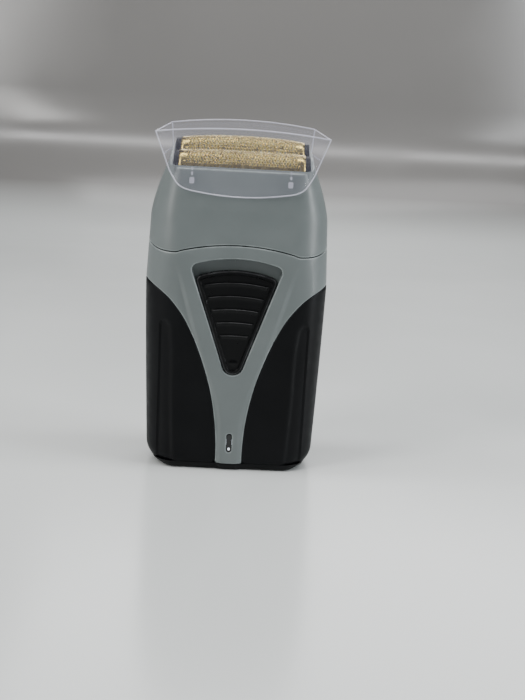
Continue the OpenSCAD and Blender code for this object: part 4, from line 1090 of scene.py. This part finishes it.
def foil(name, centre_y, top_z, crown, material):
    """A perforated sheet bent over a half circle, with plain bands at its ends and along its skirts."""
    bend = math.pi * (FOIL_R - FOIL_T / 2)
    columns = int((2 * (FOIL_HALF - BAND)) / CELL_X)
    half = columns * CELL_X / 2
    rows = int(HOLED * bend / CELL_S)
    reach = rows * CELL_S / 2
    verts, faces = [], []

    def vertex(x, s):
        verts.append((x, s))
        return len(verts) - 1

    for row in range(rows):
        s0 = -reach + row * CELL_S
        shift = (row % 2) * CELL_X / 2
        first, last = -half + shift, half - shift
        count = columns - (row % 2)
        for k in range(count):
            x0 = first + k * CELL_X
            rim = [(x0 + i * CELL_X / 2, s0 + j * CELL_S / 2) for i, j in AROUND_CELL]
            hole = arc(x0 + CELL_X / 2, s0 + CELL_S / 2, HOLE_R, -135, 180, 7)
            outer = [vertex(*p) for p in rim]
            inner = [vertex(*p) for p in hole]
            for j in range(8):
                n = (j + 1) % 8
                faces.append((outer[j], outer[n], inner[n], inner[j]))
        ends = [-FOIL_HALF, -FOIL_HALF + BAND / 2, first, last, FOIL_HALF - BAND / 2, FOIL_HALF]
        for a, b in ((0, 1), (1, 2), (3, 4), (4, 5)):
            for s in (s0, s0 + CELL_S / 2):
                faces.append(tuple(vertex(x, t) for x, t in (
                    (ends[a], s), (ends[b], s), (ends[b], s + CELL_S / 2), (ends[a], s + CELL_S / 2))))
    xs = [-FOIL_HALF, -FOIL_HALF + BAND / 2] + [-half + k * CELL_X / 2 for k in range(2 * columns + 1)]
    xs += [FOIL_HALF - BAND / 2, FOIL_HALF]
    full = bend / 2 + SKIRT
    for side in (-1, 1):
        stops = np.linspace(reach, full, 7)
        for s, t in zip(stops[:-1], stops[1:]):
            for a, b in zip(xs[:-1], xs[1:]):
                faces.append(tuple(vertex(x, side * q) for x, q in ((a, s), (b, s), (b, t), (a, t))))
    x, s = np.array(verts).T
    angle = np.clip(s / (bend / 2), -1, 1) * math.pi / 2
    below = np.clip(np.abs(s) - bend / 2, 0, None)
    rise = crown * (1 - np.abs(x / FOIL_HALF) ** 2.5) * np.cos(angle)
    y = centre_y + (FOIL_R - FOIL_SUNK) * np.sin(angle)
    z = top_z - FOIL_R + (FOIL_R - FOIL_SUNK) * np.cos(angle) - below + rise
    build = Build()
    build.add(np.column_stack([x, y, z]), faces)
    obj = build.make(name + "_mesh", FOIL_T, sharp=60)
    faces_out(obj, (0, centre_y, top_z - FOIL_R))
    return finish_piece(obj, "head", material, [name])


# ---------------- camera, light and stage
FOCAL_MM, SENSOR_MM = 54.0514286, 36.0
CAMERA_AT = (-1.5, -347.7, 123.9)
CAMERA_TURN = (1.89, 13.7, -3.15)       # yaw, pitch and roll, in degrees
BACKDROP = (0.17, 0.165, 0.16)
BEND_STEPS = 12


def camera():
    """Stands where the photograph was taken from, as solved from its perspective."""
    place = Vector(CAMERA_AT) * MM
    yaw, pitch, roll = (math.radians(a) for a in CAMERA_TURN)
    ahead = Vector((math.sin(yaw) * math.cos(pitch), math.cos(yaw) * math.cos(pitch), -math.sin(pitch)))
    right = Vector((math.cos(yaw), -math.sin(yaw), 0))
    down = ahead.cross(right)
    turned = math.cos(roll) * right + math.sin(roll) * down
    sunk = -math.sin(roll) * right + math.cos(roll) * down
    data = bpy.data.cameras.new("camera")
    data.sensor_fit = "AUTO"
    data.sensor_width = SENSOR_MM
    data.lens = FOCAL_MM
    data.clip_start = 0.01
    data.clip_end = 20
    obj = bpy.data.objects.new("camera", data)
    bpy.context.scene.collection.objects.link(obj)
    for column, axis in enumerate((turned, -sunk, -ahead, place)):
        for row in range(3):
            obj.matrix_world[row][column] = axis[row]
    bpy.context.scene.camera = obj


def area_light(name, place, aim, size, power, colour=(1, 1, 1)):
    data = bpy.data.lights.new(name, "AREA")
    data.shape = "RECTANGLE"
    data.size, data.size_y = size
    data.energy = power
    data.color = colour
    obj = bpy.data.objects.new(name, data)
    bpy.context.scene.collection.objects.link(obj)
    obj.location = place
    obj.rotation_euler = (Vector(aim) - Vector(place)).to_track_quat("-Z", "Y").to_euler()


def lights():
    aim = (0, 0, 0.07)
    area_light("overhead", (0.0, -0.02, 0.60), aim, (1.1, 0.08), 5.0)
    area_light("key", (-0.42, -0.30, 0.34), aim, (0.16, 0.40), 2.6, (1.0, 0.99, 0.97))
    area_light("right_strip", (0.50, -0.16, 0.22), aim, (0.12, 0.45), 2.4, (0.95, 0.98, 1.0))
    area_light("back", (0.1, 0.5, 0.4), (0, 0.1, 0), (0.6, 0.3), 2.4)
    world = bpy.data.worlds.new("world")
    world.use_nodes = True
    world.node_tree.nodes["Background"].inputs["Color"].default_value = (0.62, 0.64, 0.65, 1)
    world.node_tree.nodes["Background"].inputs["Strength"].default_value = 0.33
    bpy.context.scene.world = world


def floor():
    """A pale glossy counter that sweeps up behind into a grey backdrop."""
    half, near, far, bend, height = 2.5, -2.0, 0.50, 0.12, 1.6
    profile = [(near, 0.0), (far, 0.0)]
    for k in range(1, BEND_STEPS + 1):
        angle = math.radians(90 * k / BEND_STEPS)
        profile.append((far + bend * math.sin(angle), bend * (1 - math.cos(angle))))
    profile.append((far + bend, height))
    verts = [(x, y, z) for x in (-half, half) for y, z in profile]
    n = len(profile)
    faces = [(i, i + 1, n + i + 1, n + i) for i in range(n - 1)]
    mesh = bpy.data.meshes.new("floor")
    mesh.from_pydata(verts, [], faces)
    obj = bpy.data.objects.new("floor", mesh)
    bpy.context.scene.collection.objects.link(obj)
    smooth_shade(obj, 60)
    mat = finish_of("counter", (0.56, 0.58, 0.575), (0.60, 0.62, 0.615), (0.16, 0.24), grain=400,
                    grain_strength=0.05, blotch=3)
    nodes, links = mat.node_tree.nodes, mat.node_tree.links
    shader = nodes["Principled BSDF"]
    height_node = nodes.new("ShaderNodeSeparateXYZ")
    links.new(nodes["Texture Coordinate"].outputs["Object"], height_node.inputs[0])
    fade = spread(nodes, links, height_node.outputs["Z"], 0.0, 0.04, 0, 1)
    counter = shader.inputs["Base Color"].links[0].from_socket
    links.new(mix_colours(nodes, links, fade, counter, BACKDROP), shader.inputs["Base Color"])
    mesh.materials.append(mat)


# ---------------- the scene
def carry_over(finishes):
    """Gives every CAD node that stays a procedural finish, by its slot in the record."""
    for part in frame["record"]["subparts"]:
        obj = frame["nodes"][part["node"]]
        for place in obj.material_slots:
            place.material = finishes[part["material_slot"]]


def main():
    camera()
    finishes = inner_finishes()
    finishes["grey_shell"] = housing_grey()
    finishes["black_grip"] = grip_black()
    finishes["switch_black"] = switch_black()
    finishes["gold_foil"] = gold()
    finishes["clear_cap"] = clear_plastic()
    cap_edge_highlight = cap_edge_highlight_finish()
    finishes["smoked_lens"] = smoked_glass()
    finishes["led"] = led_body()
    carry_over(finishes)
    front_shell(finishes["grey_shell"])
    rear_shell(finishes["grey_shell"])
    grip(1, "right_grip", finishes["black_grip"])
    grip(-1, "left_grip", finishes["black_grip"])
    base_cap(finishes["black_plastic"])
    head_housing(finishes["grey_shell"])
    slide_button(finishes["switch_black"])
    power_mark(finishes["grey_shell"])
    lens(finishes["smoked_lens"])
    led_spot(finishes["led"])
    clear_cap(finishes["clear_cap"], cap_edge_highlight)
    foil("front_foil", -FOIL_Y, FRONT_FOIL_TOP, FRONT_CROWN, finishes["gold_foil"])
    foil("rear_foil", FOIL_Y, REAR_FOIL_TOP, REAR_CROWN, finishes["gold_foil"])
    cutter_springs("front", finishes["blade_steel"])
    cutter_springs("rear", finishes["blade_steel"])
    lights()
    floor()


main()
